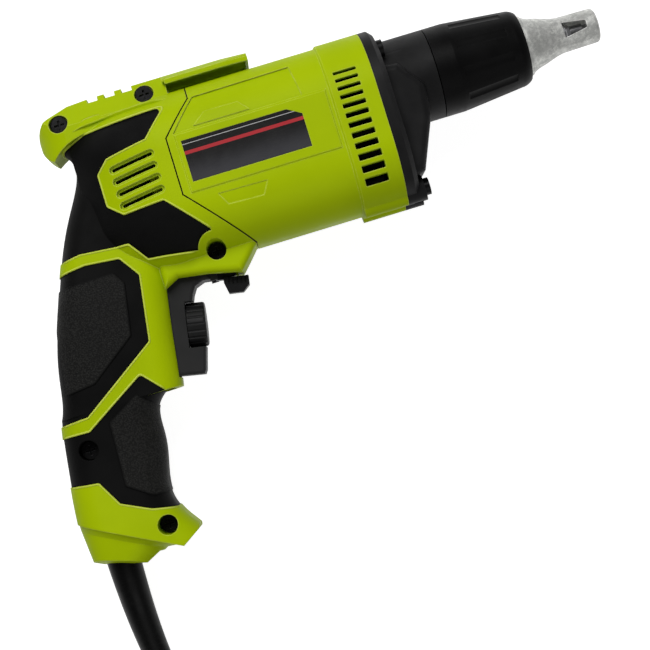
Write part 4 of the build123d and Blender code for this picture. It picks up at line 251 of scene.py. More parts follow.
# Bands across the rating plate, as heights from its bottom edge to its top edge
PLATE_LOW = -19.5
STRIPE_LOW = -7.7
STRIPE_HIGH = -6.3
STRIPE_SOFT = 0.12
RULE_LOW = -3.4
RULE_HIGH = -3.2
RULE_SOFT = 0.06

# Floor: the light it adds to its own shade where it is seen or reflected, its tone and its place
FLOOR_LIFT = 0.9
FLOOR_TONE = (0.5, 0.5, 0.5, 1.0)
FLOOR_MIDDLE = (-60.0, -120.0)
FLOOR_RADIUS = 6000.0
FLOOR_SIDES = 96

# Studio: pale walls that darken into the ceiling as a direction rises, and lamps placed in metres
# from the middle of the tool
WALL_TONE = (0.34, 0.34, 0.343, 1.0)
CEILING_TONE = (0.10, 0.10, 0.102, 1.0)
WALL_TOP = 0.05
CEILING_EDGE = 0.75
LAMP_AIM = (-60.0, -70.0)
KEY_LAMP = {"right": -0.42, "up": 0.75, "height": 1.2, "size": 0.8, "power": 14.8}
FILL_LAMP = {"right": 0.4, "up": -0.85, "height": 1.0, "size": 1.0, "power": 3.4}

# Colours of the finishes. Tones are a dark and a light colour that drift into each other.
LIME = (0.440, 0.585, 0.0008, 1.0)
LIME_DEEP = (0.405, 0.545, 0.0005, 1.0)
# Paler limes that stand as painted highlights on edges and on the grips' lips
LIME_EDGE_HIGHLIGHT = (0.68, 0.78, 0.11, 1.0)
LIME_PALE_HIGHLIGHT = (0.60, 0.72, 0.06, 1.0)
SEAM_SHADE = (0.020, 0.028, 0.0005, 1.0)
LINED_BLACK = (0.0060, 0.0060, 0.0058, 1.0)
GRIP_TONES = ((0.0026, 0.0026, 0.0026, 1.0), (0.0046, 0.0046, 0.0045, 1.0))
PEBBLE_TONES = ((0.0095, 0.0095, 0.009, 1.0), (0.023, 0.023, 0.0215, 1.0))
NOSE_TONES = ((0.50, 0.505, 0.48, 1.0), (0.78, 0.785, 0.745, 1.0))
NOSE_SPECK = (0.43, 0.435, 0.415, 1.0)
NOSE_RUBBED = (0.80, 0.80, 0.77, 1.0)
NOSE_RIM = (0.86, 0.86, 0.83, 1.0)
SCREW_TONES = ((0.002, 0.002, 0.0022, 1.0), (0.006, 0.006, 0.0065, 1.0))
SCREW_GLINT = (0.09, 0.09, 0.095, 1.0)
INK_TONES = ((0.0065, 0.006, 0.006, 1.0), (0.0095, 0.009, 0.0088, 1.0))
INK_PAINTED_REFLECTION = (0.050, 0.050, 0.056, 1.0)
STRIPE_TONES = ((0.42, 0.026, 0.034, 1.0), (0.52, 0.036, 0.044, 1.0))
RULE_TONE = (0.55, 0.55, 0.55, 1.0)
PLATE_SCUFF = (0.2, 0.2, 0.19, 1.0)
SHEET_TONES = ((0.05, 0.052, 0.058, 1.0), (0.20, 0.20, 0.205, 1.0))
SHEET_RUST = (0.10, 0.075, 0.05, 1.0)
WIRE_TONES = ((0.16, 0.045, 0.02, 1.0), (0.66, 0.25, 0.11, 1.0))
WIRE_VARNISH = (0.42, 0.16, 0.07, 1.0)
CARBON_TONES = ((0.018, 0.018, 0.019, 1.0), (0.10, 0.10, 0.105, 1.0))
CASTING_TONES = ((0.34, 0.345, 0.35, 1.0), (0.47, 0.475, 0.48, 1.0))
CASTING_RIM = (0.68, 0.68, 0.69, 1.0)
LEAD_SCUFF = (0.05, 0.05, 0.05, 1.0)
YARN_TONES = ((0.006, 0.006, 0.006, 1.0), (0.03, 0.03, 0.031, 1.0))
YARN_DULL = (0.016, 0.016, 0.017, 1.0)
COPPER_TONES = ((0.55, 0.22, 0.11, 1.0), (0.70, 0.32, 0.18, 1.0))
BRONZE_TONES = ((0.42, 0.25, 0.10, 1.0), (0.55, 0.35, 0.15, 1.0))
PIN_TONES = ((0.62, 0.60, 0.54, 1.0), (0.74, 0.72, 0.66, 1.0))


def spot(x, y, z=0.0):
    """Point in metres from millimetres measured from the joint plane."""
    return Vector(((x + JOINT_X) * MM, y * MM, z * MM))


def grey(value, blue=1.0):
    """Opaque grey whose blue is that many times as strong."""
    return (value, value, value * blue, 1.0)


def place(name, data):
    piece = bpy.data.objects.new(name, data)
    bpy.context.scene.collection.objects.link(piece)
    return piece


def feed(tree, socket, value):
    """Links another node's output to a socket, or sets the socket to a plain value."""
    if isinstance(value, bpy.types.NodeSocket):
        tree.links.new(value, socket)
    else:
        socket.default_value = value


def math_of(tree, operation, first, second=0.0):
    node = tree.nodes.new("ShaderNodeMath")
    node.operation = operation
    feed(tree, node.inputs[0], first)
    feed(tree, node.inputs[1], second)
    return node.outputs["Value"]


def plus(tree, first, second):
    return math_of(tree, "ADD", first, second)


def times(tree, first, second):
    return math_of(tree, "MULTIPLY", first, second)


def higher(tree, first, second):
    return math_of(tree, "MAXIMUM", first, second)


def vector_of(tree, operation, first, second):
    """Outputs of a vector node, of which the operation fills Vector or Value."""
    node = tree.nodes.new("ShaderNodeVectorMath")
    node.operation = operation
    feed(tree, node.inputs[0], first)
    feed(tree, node.inputs[1], second)
    return node.outputs


def ranged(tree, value, low, high, to_low=0.0, to_high=1.0):
    """Value between low and high, eased in and out, carried over to a new range."""
    node = tree.nodes.new("ShaderNodeMapRange")
    node.interpolation_type = "SMOOTHSTEP"
    feed(tree, node.inputs["Value"], value)
    node.inputs["From Min"].default_value = low
    node.inputs["From Max"].default_value = high
    node.inputs["To Min"].default_value = to_low
    node.inputs["To Max"].default_value = to_high
    return node.outputs["Result"]


def spread(tree, mask, none, full):
    """Value that goes from none to full as a mask goes from 0 to 1."""
    return ranged(tree, mask, 0.0, 1.0, none, full)


def tinted(tree, factor, first, second):
    """Colour between two others."""
    node = tree.nodes.new("ShaderNodeMix")
    node.data_type = "RGBA"
    feed(tree, node.inputs[0], factor)
    feed(tree, node.inputs[6], first)
    feed(tree, node.inputs[7], second)
    return node.outputs[2]


def here(tree):
    """Place on the piece at rest, in metres."""
    return tree.nodes.new("ShaderNodeTexCoord").outputs["Object"]


def height(tree):
    """Height in side view, in metres."""
    parts = tree.nodes.new("ShaderNodeSeparateXYZ")
    tree.links.new(here(tree), parts.inputs["Vector"])
    return parts.outputs["Y"]


def stretched(tree, factors):
    """Place on the piece, stretched by a factor along each axis."""
    return vector_of(tree, "MULTIPLY", here(tree), factors)["Vector"]


def noise(tree, where, scale, detail, roughness):
    node = tree.nodes.new("ShaderNodeTexNoise")
    tree.links.new(where, node.inputs["Vector"])
    feed(tree, node.inputs["Scale"], scale)
    node.inputs["Detail"].default_value = detail
    node.inputs["Roughness"].default_value = roughness
    return node.outputs["Fac"]


def cells(tree, scale, feature):
    """Distance from the middles of irregular cells."""
    node = tree.nodes.new("ShaderNodeTexVoronoi")
    node.feature = feature
    tree.links.new(here(tree), node.inputs["Vector"])
    node.inputs["Scale"].default_value = scale
    return node.outputs["Distance"]


def bands(tree, direction, scale, distortion):
    """Soft dark and light bands across a direction."""
    node = tree.nodes.new("ShaderNodeTexWave")
    node.bands_direction = direction
    tree.links.new(here(tree), node.inputs["Vector"])
    node.inputs["Scale"].default_value = scale
    node.inputs["Distortion"].default_value = distortion
    return node.outputs["Fac"]


def inside(tree, corners, soft):
    """1 inside a convex outline in side view and 0 outside, over a soft edge."""
    points = [spot(*corner) for corner in corners]
    middle = sum(points, Vector()) / len(points)
    where = here(tree)
    masks = []
    for first, second in zip(points, points[1:] + points[:1]):
        along = (second - first).normalized()
        inward = Vector((-along.y, along.x, 0.0))
        if inward.dot(middle - first) < 0:
            inward = -inward
        level = inward.dot(first)
        reach = vector_of(tree, "DOT_PRODUCT", where, inward)["Value"]
        masks.append(ranged(tree, reach, level, level + soft * MM))
    result = masks[0]
    for mask in masks[1:]:
        result = times(tree, result, mask)
    return result


def within(tree, centre, radius, soft):
    """1 inside a circle in side view and 0 outside, over a soft edge."""
    flat = stretched(tree, (1.0, 1.0, 0.0))
    away = vector_of(tree, "DISTANCE", flat, spot(*centre))["Value"]
    return ranged(tree, away, radius * MM, (radius + soft) * MM, 1.0, 0.0)


def along_line(tree, points, half, soft):
    """1 within half a width of a line of points in side view and 0 outside, over a soft edge."""
    result = 0.0
    for first, second in zip(points, points[1:]):
        start, end = Vector(first), Vector(second)
        run = half * (end - start).normalized()
        aside = Vector((-run.y, run.x))
        corners = [start - run + aside, end + run + aside, end + run - aside, start - run - aside]
        result = higher(tree, result, inside(tree, corners, soft))
    return result


def height_band(tree, low, high, soft):
    """1 between two heights in side view and 0 outside, over a soft edge."""
    up = ranged(tree, height(tree), (low - soft) * MM, low * MM)
    down = ranged(tree, height(tree), high * MM, (high + soft) * MM, 1.0, 0.0)
    return times(tree, up, down)


def bumped(tree, relief, depth, normal=None):
    """Normal of a surface whose relief, 0 to 1, is that many millimetres deep."""
    node = tree.nodes.new("ShaderNodeBump")
    node.inputs["Strength"].default_value = 1.0
    node.inputs["Distance"].default_value = depth * MM
    tree.links.new(relief, node.inputs["Height"])
    if normal is not None:
        tree.links.new(normal, node.inputs["Normal"])
    return node.outputs["Normal"]


def new_group(name, inputs, outputs):
    """Shader node group with named float inputs, and outputs given as name and socket type."""
    tree = bpy.data.node_groups.new(name, "ShaderNodeTree")
    for label, value in inputs.items():
        socket = tree.interface.new_socket(label, in_out="INPUT", socket_type="NodeSocketFloat")
        socket.default_value = value
    for label, kind in outputs.items():
        tree.interface.new_socket(label, in_out="OUTPUT", socket_type=kind)
    entry = tree.nodes.new("NodeGroupInput")
    leave = tree.nodes.new("NodeGroupOutput")
    return tree, entry.outputs, leave.inputs


def moulded_skin():
    """Fine spark-eroded grain of a moulded face, and a slow drift in tone."""
    tree, given, out = new_group(
        "moulded skin",
        {"Grain Scale": 2500.0, "Drift Scale": 40.0},
        {"Grain": "NodeSocketFloat", "Drift": "NodeSocketFloat"},
    )
    grain = noise(tree, here(tree), given["Grain Scale"], detail=4.0, roughness=0.6)
    drift = noise(tree, here(tree), given["Drift Scale"], detail=3.0, roughness=0.5)
    tree.links.new(grain, out["Grain"])
    tree.links.new(ranged(tree, drift, 0.3, 0.7), out["Drift"])
    return tree


def rounded_edges():
    """Normal that rounds sharp edges over a small radius, and a broken mask along them."""
    tree, given, out = new_group(
        "rounded edges",
        {"Radius": 0.0004, "Breakup Scale": 300.0},
        {"Normal": "NodeSocketVector", "Edge": "NodeSocketFloat"},
    )
    bevel = tree.nodes.new("ShaderNodeBevel")
    bevel.samples = 6
    tree.links.new(given["Radius"], bevel.inputs["Radius"])
    face = tree.nodes.new("ShaderNodeNewGeometry")
    turn = vector_of(tree, "DOT_PRODUCT", bevel.outputs["Normal"], face.outputs["Normal"])
    edge = ranged(tree, turn["Value"], 0.985, 0.85)
    breakup = noise(tree, here(tree), given["Breakup Scale"], detail=4.0, roughness=0.6)
    broken = ranged(tree, breakup, 0.3, 0.6, 0.35, 1.0)
    tree.links.new(bevel.outputs["Normal"], out["Normal"])
    tree.links.new(times(tree, edge, broken), out["Edge"])
    return tree


def handling_marks():
    """Faint rubbed patches and fine scratches of a tool that has been held."""
    tree, given, out = new_group(
        "handling marks",
        {"Patch Scale": 60.0, "Scratch Scale": 90.0},
        {"Rub": "NodeSocketFloat", "Scratch": "NodeSocketFloat"},
    )
    patch = noise(tree, here(tree), given["Patch Scale"], detail=5.0, roughness=0.65)
    tree.links.new(ranged(tree, patch, 0.42, 0.7), out["Rub"])
    where = stretched(tree, (1.0, 7.0, 2.0))
    lines = noise(tree, where, given["Scratch Scale"], detail=6.0, roughness=0.7)
    away = math_of(tree, "ABSOLUTE", math_of(tree, "SUBTRACT", lines, 0.5))
    tree.links.new(ranged(tree, away, 0.006, 0.0), out["Scratch"])
    return tree


def turned_lines():
    """Fine rings that a lathe leaves round the X axis, and the drift of tone between them."""
    tree, given, out = new_group(
        "turned lines",
        {"Line Scale": 1400.0, "Drift Scale": 90.0},
        {"Lines": "NodeSocketFloat", "Drift": "NodeSocketFloat"},
    )
    where = stretched(tree, (1.0, 0.02, 0.02))
    lines = noise(tree, where, given["Line Scale"], detail=3.0, roughness=0.6)
    drift = noise(tree, here(tree), given["Drift Scale"], detail=4.0, roughness=0.55)
    tree.links.new(lines, out["Lines"])
    tree.links.new(ranged(tree, drift, 0.3, 0.7), out["Drift"])
    return tree


GROUPS = {
    "moulded skin": moulded_skin(),
    "rounded edges": rounded_edges(),
    "handling marks": handling_marks(),
    "turned lines": turned_lines(),
}


def use(tree, name, **values):
    """Places a node group and sets its inputs, whose names have underscores for spaces."""
    node = tree.nodes.new("ShaderNodeGroup")
    node.node_tree = GROUPS[name]
    for label, value in values.items():
        node.inputs[label.replace("_", " ")].default_value = value
    return node.outputs


def blank(name, metallic=0.0, specular=0.5):
    """Material with one Principled shader, and its node tree."""
    material = bpy.data.materials.new(name)
    material.use_nodes = True
    shader = material.node_tree.nodes["Principled BSDF"]
    shader.inputs["Metallic"].default_value = metallic
    shader.inputs["Specular IOR Level"].default_value = specular
    return material, material.node_tree


def finished(material, colour, roughness, normal):
    """The material with its shader's colour, roughness and normal set."""
    tree = material.node_tree
    shader = tree.nodes["Principled BSDF"]
    feed(tree, shader.inputs["Base Color"], colour)
    feed(tree, shader.inputs["Roughness"], roughness)
    feed(tree, shader.inputs["Normal"], normal)
    return material


def lime_plastic(name, tones=(LIME_DEEP, LIME), lined=(), specular=0.05):
    """Satin lime moulding with painted edge highlights and painted shade along the seam. Black
    overmoulding lines the recesses of the lined screws.
    """
    material, tree = blank(name, specular=specular)
    skin = use(tree, "moulded skin", Grain_Scale=2600.0, Drift_Scale=28.0)
    rim = use(tree, "rounded edges", Radius=0.0008, Breakup_Scale=220.0)
    marks = use(tree, "handling marks", Patch_Scale=45.0, Scratch_Scale=60.0)
    body = tinted(tree, skin["Drift"], *tones)
    # Edges turn pale lime: a painted highlight
    bright = tinted(tree, rim["Edge"], body, LIME_EDGE_HIGHLIGHT)
    # Painted shade along the seam between the shells and the housing
    colour = tinted(tree, along_line(tree, SEAM_LINE, SEAM_HALF, SEAM_SOFT), bright, SEAM_SHADE)
    for centre in lined:
        colour = tinted(tree, within(tree, centre, LINED_RADIUS, LINED_SOFT), colour, LINED_BLACK)
    satin = spread(tree, marks["Rub"], none=0.47, full=0.39)
    rough = plus(tree, satin, times(tree, skin["Grain"], 0.06))
    normal = bumped(tree, skin["Grain"], depth=0.035, normal=rim["Normal"])
    return finished(material, colour, rough, normal)


def soft_grip():
    """Black elastomer, with pebble grain on the raised panels."""
    material, tree = blank("soft grip", specular=0.07)
    skin = use(tree, "moulded skin", Grain_Scale=1800.0, Drift_Scale=55.0)
    rim = use(tree, "rounded edges", Radius=0.0006, Breakup_Scale=200.0)
    marks = use(tree, "handling marks", Patch_Scale=35.0, Scratch_Scale=50.0)
    rear = inside(tree, REAR_PANEL, PANEL_SOFT)
    panel = higher(tree, rear, inside(tree, LOWER_PANEL, PANEL_SOFT))
    pebble = ranged(tree, cells(tree, 1700.0, "SMOOTH_F1"), 0.15, 0.6, 1.0, 0.0)
    plain = tinted(tree, skin["Drift"], *GRIP_TONES)
    worn = tinted(tree, pebble, *PEBBLE_TONES)
    colour = tinted(tree, panel, plain, worn)
    rough = spread(tree, marks["Rub"], none=0.66, full=0.55)
    relief = plus(tree, times(tree, panel, pebble), times(tree, skin["Grain"], 0.25))
    return finished(material, colour, rough, bumped(tree, relief, depth=0.11, normal=rim["Normal"]))


def black_moulding(name, dark, light, roughness, grain, radius=0.0004, specular=0.14):
    """Black glass-filled nylon: eroded grain, rubbed edges and a drift in tone."""
    material, tree = blank(name, specular=specular)
    skin = use(tree, "moulded skin", Grain_Scale=2100.0, Drift_Scale=50.0)
    rim = use(tree, "rounded edges", Radius=radius, Breakup_Scale=260.0)
    marks = use(tree, "handling marks", Patch_Scale=55.0, Scratch_Scale=80.0)
    body = tinted(tree, skin["Drift"], grey(dark, 1.03), grey(light, 1.02))
    colour = tinted(tree, times(tree, rim["Edge"], 0.6), body, grey(light * 2.2))
    rough = spread(tree, marks["Rub"], none=roughness + 0.05, full=roughness - 0.06)
    normal = bumped(tree, skin["Grain"], depth=grain, normal=rim["Normal"])
    return finished(material, colour, rough, normal)


def cast_nose():
    """Tumbled die-cast alloy of the nose: cloudy tone, pits and rubbed rims."""
    material, tree = blank("cast nose", metallic=0.55)
    skin = use(tree, "moulded skin", Grain_Scale=1500.0, Drift_Scale=130.0)
    rim = use(tree, "rounded edges", Radius=0.0005, Breakup_Scale=300.0)
    marks = use(tree, "handling marks", Patch_Scale=110.0, Scratch_Scale=120.0)
    cloud = tinted(tree, skin["Drift"], *NOSE_TONES)
    speck = ranged(tree, noise(tree, here(tree), 620.0, detail=5.0, roughness=0.7), 0.42, 0.62)
    tumbled = tinted(tree, speck, NOSE_SPECK, cloud)
    scratched = higher(tree, times(tree, marks["Rub"], 0.4), marks["Scratch"])
    rubbed = tinted(tree, scratched, tumbled, NOSE_RUBBED)
    colour = tinted(tree, rim["Edge"], rubbed, NOSE_RIM)
    dull = spread(tree, marks["Rub"], none=0.52, full=0.38)
    rough = math_of(tree, "SUBTRACT", dull, times(tree, marks["Scratch"], 0.08))
    pits = ranged(tree, cells(tree, 700.0, "F1"), 0.05, 0.3)
    relief = plus(tree, times(tree, pits, 0.4), skin["Grain"])
    return finished(material, colour, rough, bumped(tree, relief, depth=0.05, normal=rim["Normal"]))


def bright_metal(name, dark, light, roughness):
    """Turned metal: rings round the axis, drift in tone and polished edges."""
    material, tree = blank(name, metallic=1.0)
    turned = use(tree, "turned lines", Line_Scale=1500.0, Drift_Scale=120.0)
    rim = use(tree, "rounded edges", Radius=0.0003, Breakup_Scale=350.0)
    body = tinted(tree, turned["Drift"], dark, light)
    polished = (*(min(1.0, 1.25 * part) for part in light[:3]), 1.0)
    colour = tinted(tree, rim["Edge"], body, polished)
    rough = ranged(tree, turned["Lines"], 0.25, 0.75, roughness - 0.07, roughness + 0.07)
    normal = bumped(tree, turned["Lines"], depth=0.006, normal=rim["Normal"])
    return finished(material, colour, rough, normal)


def black_screw():
    """Blackened steel screw, bright where the driver has rubbed it, with painted glints along its
    edges.
    """
    material, tree = blank("black screw", metallic=0.4, specular=0.2)
    marks = use(tree, "handling marks", Patch_Scale=260.0, Scratch_Scale=260.0)
    rim = use(tree, "rounded edges", Radius=0.00025, Breakup_Scale=500.0)
    # Edges turn grey: a painted glint
    colour = tinted(tree, rim["Edge"], tinted(tree, marks["Rub"], *SCREW_TONES), SCREW_GLINT)
    rough = spread(tree, marks["Rub"], none=0.42, full=0.3)
    normal = bumped(tree, marks["Rub"], depth=0.01, normal=rim["Normal"])
    return finished(material, colour, rough, normal)


def plate_film():
    """Printed film of the rating plate: black, with a red stripe, a thin pale rule, and a painted
    reflection that greys it towards the bottom.
    """
    material, tree = blank("plate film", specular=0.15)
    skin = use(tree, "moulded skin", Grain_Scale=3200.0, Drift_Scale=160.0)
    marks = use(tree, "handling marks", Patch_Scale=120.0, Scratch_Scale=110.0)
    rim = use(tree, "rounded edges", Radius=0.00025, Breakup_Scale=300.0)
    ink = tinted(tree, skin["Drift"], *INK_TONES)
    # Lighter grey towards the plate's bottom edge: a painted reflection
    painted_reflection = times(tree, ranged(tree, height(tree), STRIPE_LOW * MM, PLATE_LOW * MM), 0.9)
    lower = tinted(tree, painted_reflection, ink, INK_PAINTED_REFLECTION)
    red = tinted(tree, skin["Grain"], *STRIPE_TONES)
    striped = tinted(tree, height_band(tree, STRIPE_LOW, STRIPE_HIGH, STRIPE_SOFT), lower, red)
    ruled = tinted(tree, height_band(tree, RULE_LOW, RULE_HIGH, RULE_SOFT), striped, RULE_TONE)
    colour = tinted(tree, times(tree, marks["Scratch"], 0.12), ruled, PLATE_SCUFF)
    rough = spread(tree, marks["Rub"], none=0.36, full=0.28)
    normal = bumped(tree, skin["Grain"], depth=0.012, normal=rim["Normal"])
    return finished(material, colour, rough, normal)


def stacked_sheet():
    """Edges of the thin steel sheets of a motor core, stacked along X."""
    material, tree = blank("stacked sheet", metallic=0.8)
    skin = use(tree, "moulded skin", Grain_Scale=900.0, Drift_Scale=80.0)
    edges = bands(tree, "X", scale=320.0, distortion=0.6)
    sheet = tinted(tree, edges, *SHEET_TONES)
    colour = tinted(tree, times(tree, skin["Drift"], 0.35), sheet, SHEET_RUST)
    rough = spread(tree, skin["Drift"], none=0.4, full=0.58)
    return finished(material, colour, rough, bumped(tree, edges, depth=0.06))


def wound_copper():
    """Varnished copper wire laid side by side."""
    material, tree = blank("wound copper", metallic=1.0)
    skin = use(tree, "moulded skin", Grain_Scale=700.0, Drift_Scale=110.0)
    wires = bands(tree, "DIAGONAL", scale=240.0, distortion=1.4)
    colour = tinted(tree, skin["Drift"], tinted(tree, wires, *WIRE_TONES), WIRE_VARNISH)
    rough = spread(tree, skin["Drift"], none=0.26, full=0.4)
    return finished(material, colour, rough, bumped(tree, wires, depth=0.22))


def pressed_carbon():
    """Graphite of the brushes: dull grey with fine bright flakes."""
    material, tree = blank("pressed carbon", metallic=0.3)
    skin = use(tree, "moulded skin", Grain_Scale=3500.0, Drift_Scale=300.0)
    colour = tinted(tree, ranged(tree, skin["Grain"], 0.6, 0.72), *CARBON_TONES)
    rough = spread(tree, skin["Drift"], none=0.45, full=0.62)
    return finished(material, colour, rough, bumped(tree, skin["Grain"], depth=0.03))


def cast_plate():
    """Rough die casting of the bearing plate."""
    material, tree = blank("cast plate", metallic=1.0)
    skin = use(tree, "moulded skin", Grain_Scale=1100.0, Drift_Scale=90.0)
    rim = use(tree, "rounded edges", Radius=0.0004, Breakup_Scale=250.0)
    body = tinted(tree, skin["Drift"], *CASTING_TONES)
    colour = tinted(tree, rim["Edge"], body, CASTING_RIM)
    rough = ranged(tree, skin["Grain"], 0.3, 0.7, 0.4, 0.58)
    normal = bumped(tree, skin["Grain"], depth=0.08, normal=rim["Normal"])
    return finished(material, colour, rough, normal)


def lead_rubber(name, dark, light, roughness):
    """Black rubber or vinyl of the lead: slight bloom and shallow scuffs."""
    material, tree = blank(name, specular=0.11)
    skin = use(tree, "moulded skin", Grain_Scale=1600.0, Drift_Scale=70.0)
    marks = use(tree, "handling marks", Patch_Scale=70.0, Scratch_Scale=60.0)
    bloom = tinted(tree, skin["Drift"], grey(dark), grey(light, 1.02))
    colour = tinted(tree, times(tree, marks["Scratch"], 0.2), bloom, LEAD_SCUFF)
    rough = spread(tree, marks["Rub"], none=roughness + 0.06, full=roughness - 0.06)
    return finished(material, colour, rough, bumped(tree, skin["Grain"], depth=0.025))


def woven_strap():
    """Woven tie round the coil."""
    material, tree = blank("woven strap")
    skin = use(tree, "moulded skin", Grain_Scale=2200.0, Drift_Scale=120.0)
    weave = bands(tree, "Y", scale=380.0, distortion=0.8)
    colour = tinted(tree, skin["Drift"], tinted(tree, weave, *YARN_TONES), YARN_DULL)
    relief = plus(tree, weave, skin["Grain"])
    return finished(material, colour, roughness=0.8, normal=bumped(tree, relief, depth=0.12))


def steel(name, dark, light, roughness):
    return bright_metal(name, grey(dark, 1.03), grey(light, 1.03), roughness)


# The lips are coloured in two paler limes, a painted highlight on the beads
LIP_HIGHLIGHT_FINISH = lime_plastic("lime lip highlight", (LIME_EDGE_HIGHLIGHT, LIME_PALE_HIGHLIGHT))
RIDGE_FINISH = lime_plastic("lime ridge")
FINISHES = {
    "handle_shell_right handle_shell_left": lime_plastic("lime shell", lined=GRIP_SCREWS),
    "motor_housing": lime_plastic("lime housing"),
    "soft_grip_right soft_grip_left": soft_grip(),
    "rating_plate": plate_film(),
    "gear_case": black_moulding(
        "case nylon", dark=0.008, light=0.017, roughness=0.5, grain=0.05, specular=0.1
    ),
    "depth_collar": black_moulding(
        "collar nylon", dark=0.0022, light=0.0042, roughness=0.42, grain=0.03, specular=0.07
    ),
    "trigger": black_moulding(
        "trigger nylon", dark=0.018, light=0.024, roughness=0.52, grain=0.03
    ),
    "speed_dial reverse_lever lock_button": black_moulding(
        "control nylon", dark=0.008, light=0.013, roughness=0.4, grain=0.02, radius=0.0003
    ),
    "switch_body brush_holders cable_clamp": black_moulding(
        "inner nylon", dark=0.012, light=0.02, roughness=0.5, grain=0.03
    ),
    "cooling_fan fan_baffle": black_moulding(
        "fan nylon", dark=0.015, light=0.024, roughness=0.48, grain=0.03
    ),
    "shell_screws gear_case_screws clamp_screws": black_screw(),
    "nose_locator": cast_nose(),
    "screwdriver_bit bit_holder": steel("bit steel", dark=0.2, light=0.3, roughness=0.34),
    "spindle armature_shaft drive_gear clutch_plate": steel(
        "ground steel", dark=0.44, light=0.56, roughness=0.27
    ),
    "rear_bearing front_bearing bit_retainer": steel(
        "bearing steel", dark=0.5, light=0.62, roughness=0.22
    ),
    "stator_core armature_core": stacked_sheet(),
    "field_coils armature_winding": wound_copper(),
    "commutator": bright_metal("commutator copper", *COPPER_TONES, roughness=0.3),
    "spindle_bush rear_spindle_bush": bright_metal("bush bronze", *BRONZE_TONES, roughness=0.36),
    "carbon_brushes": pressed_carbon(),
    "bearing_plate": cast_plate(),
    "dust_seal": lead_rubber("seal rubber", dark=0.008, light=0.014, roughness=0.55),
    "cord_guard": lead_rubber("guard rubber", dark=0.0018, light=0.0032, roughness=0.36),
    "plug_body": lead_rubber("plug rubber", dark=0.007, light=0.011, roughness=0.45),
    "cord_tie": woven_strap(),
    "plug_pins": bright_metal("plated pin", *PIN_TONES, roughness=0.22),
}


def dress_nodes():
    for names, material in FINISHES.items():
        for name in names.split():
            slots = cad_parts[name].data.materials
            slots.clear()
            slots.append(material)


def lead_curve(name, points):
    """Round lead along one smooth spline."""
    curve = bpy.data.curves.new(name, "CURVE")
    curve.dimensions = "3D"
    curve.bevel_depth = CORD_RADIUS * MM
    curve.bevel_resolution = CORD_ROUNDNESS
    curve.use_fill_caps = True
    curve.resolution_u = CORD_SMOOTHNESS
    spline = curve.splines.new("NURBS")
    spline.points.add(len(points) - 1)
    for target, point in zip(spline.points, points):
        target.co = (*point, 1.0)
    spline.order_u = 3
    spline.use_endpoint_u = True
    return place(name, curve)


def coil_point(turn):
    """Point of the coil after that many turns: inward on the floor, then outward on top."""
    angle = math.pi + 2.0 * math.pi * turn
    reach = COIL_INNER + COIL_PITCH * abs(turn - COIL_REVERSE)
    rise = min(1.0, max(0.0, (turn - COIL_REVERSE) / COIL_CLIMB + 0.5))
    x = COIL_CENTRE[0] + reach * math.cos(angle)
    y = COIL_CENTRE[1] + reach * math.sin(angle)
    return spot(x, y, COIL_Z + COIL_PITCH * rise)


def mains_lead():
    """The lead from the guard's end through its tied coil to the plug, and its start in the base."""
    steps = round(COIL_TURNS * COIL_POINTS)
    points = [spot(*p) for p in LEAD_ROUTE]
    points += [coil_point(step / COIL_POINTS) for step in range(steps + 1)]
    points += [spot(*p) for p in TAIL_ROUTE]
    lead = lead_curve("mains_lead", points)
    vinyl = lead_rubber("lead vinyl", dark=0.0025, light=0.0045, roughness=0.4)
    lead.data.materials.append(vinyl)
    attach(lead, "tool")
    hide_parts("cord_lead", "cord_coil", "cord_tail")
    inner = lead_curve("inner_lead", [spot(*p) for p in INNER_ROUTE])
    inner.data.materials.append(vinyl)
    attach(inner, "tool")
    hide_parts("cord_inner")


def join_rings(made, rings):
    """Closes a skin over rings of corners, from the first ring to the last."""
    for first, second in zip(rings, rings[1:]):
        for corner in range(len(first)):
            beside = (corner + 1) % len(first)
            made.faces.new((first[corner], first[beside], second[beside], second[corner]))
    made.faces.new(rings[0])
    made.faces.new(list(reversed(rings[-1])))


def as_piece(name, made, material, smooth=False):
    """Piece with a material, from the skin that was made."""
    bmesh.ops.recalc_face_normals(made, faces=made.faces)
    for face in made.faces:
        face.smooth = smooth
    mesh = bpy.data.meshes.new(name)
    made.to_mesh(mesh)
    made.free()
    mesh.materials.append(material)
    return place(name, mesh)


def skinned(name, made, rings, material, slot, body="tool"):
    """Closed piece over rings of corners, which rides a body."""
    join_rings(made, rings)
    piece = as_piece(name, made, material)
    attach(piece, body)


def skin_at(shell, side, point):
    """Where a ray from beside the tool meets a shell: whether it does, the point and the normal."""
    start = spot(point.x, point.y, SIDE_RAY * side)
    found, where, outward, _ = shell.ray_cast(start, Vector((0.0, 0.0, -side)))
    return found, where, outward


def spring_wire():
    """Clutch spring of round wire, wound to the size of the spring part that it replaces."""
    low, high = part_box("clutch_spring")
    wire = SPRING_WIRE * MM
    coil_radius = (high.y - low.y) / 2.0 - wire
    length = high.x - low.x - 2.0 * wire
    forward = Vector((1.0, 0.0, 0.0))
    made = bmesh.new()
    rings = []
    for step in range(SPRING_STEPS + 1):
        share = step / SPRING_STEPS
        angle = 2.0 * math.pi * SPRING_TURNS * share
        out = Vector((0.0, math.cos(angle), math.sin(angle)))
        centre = (low.x + wire + length * share) * forward + coil_radius * out
        ring = []
        for side in range(SPRING_SIDES):
            around = 2.0 * math.pi * side / SPRING_SIDES
            reach = math.cos(around) * out + math.sin(around) * forward
            ring.append(made.verts.new(centre + wire * reach))
        rings.append(ring)
    join_rings(made, rings)
    spring_steel = steel("spring steel", dark=0.36, light=0.46, roughness=0.3)
    spring = as_piece("spring_wire", made, spring_steel, smooth=True)
    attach(spring, "gear")
    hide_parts("clutch_spring")
    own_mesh(spring)


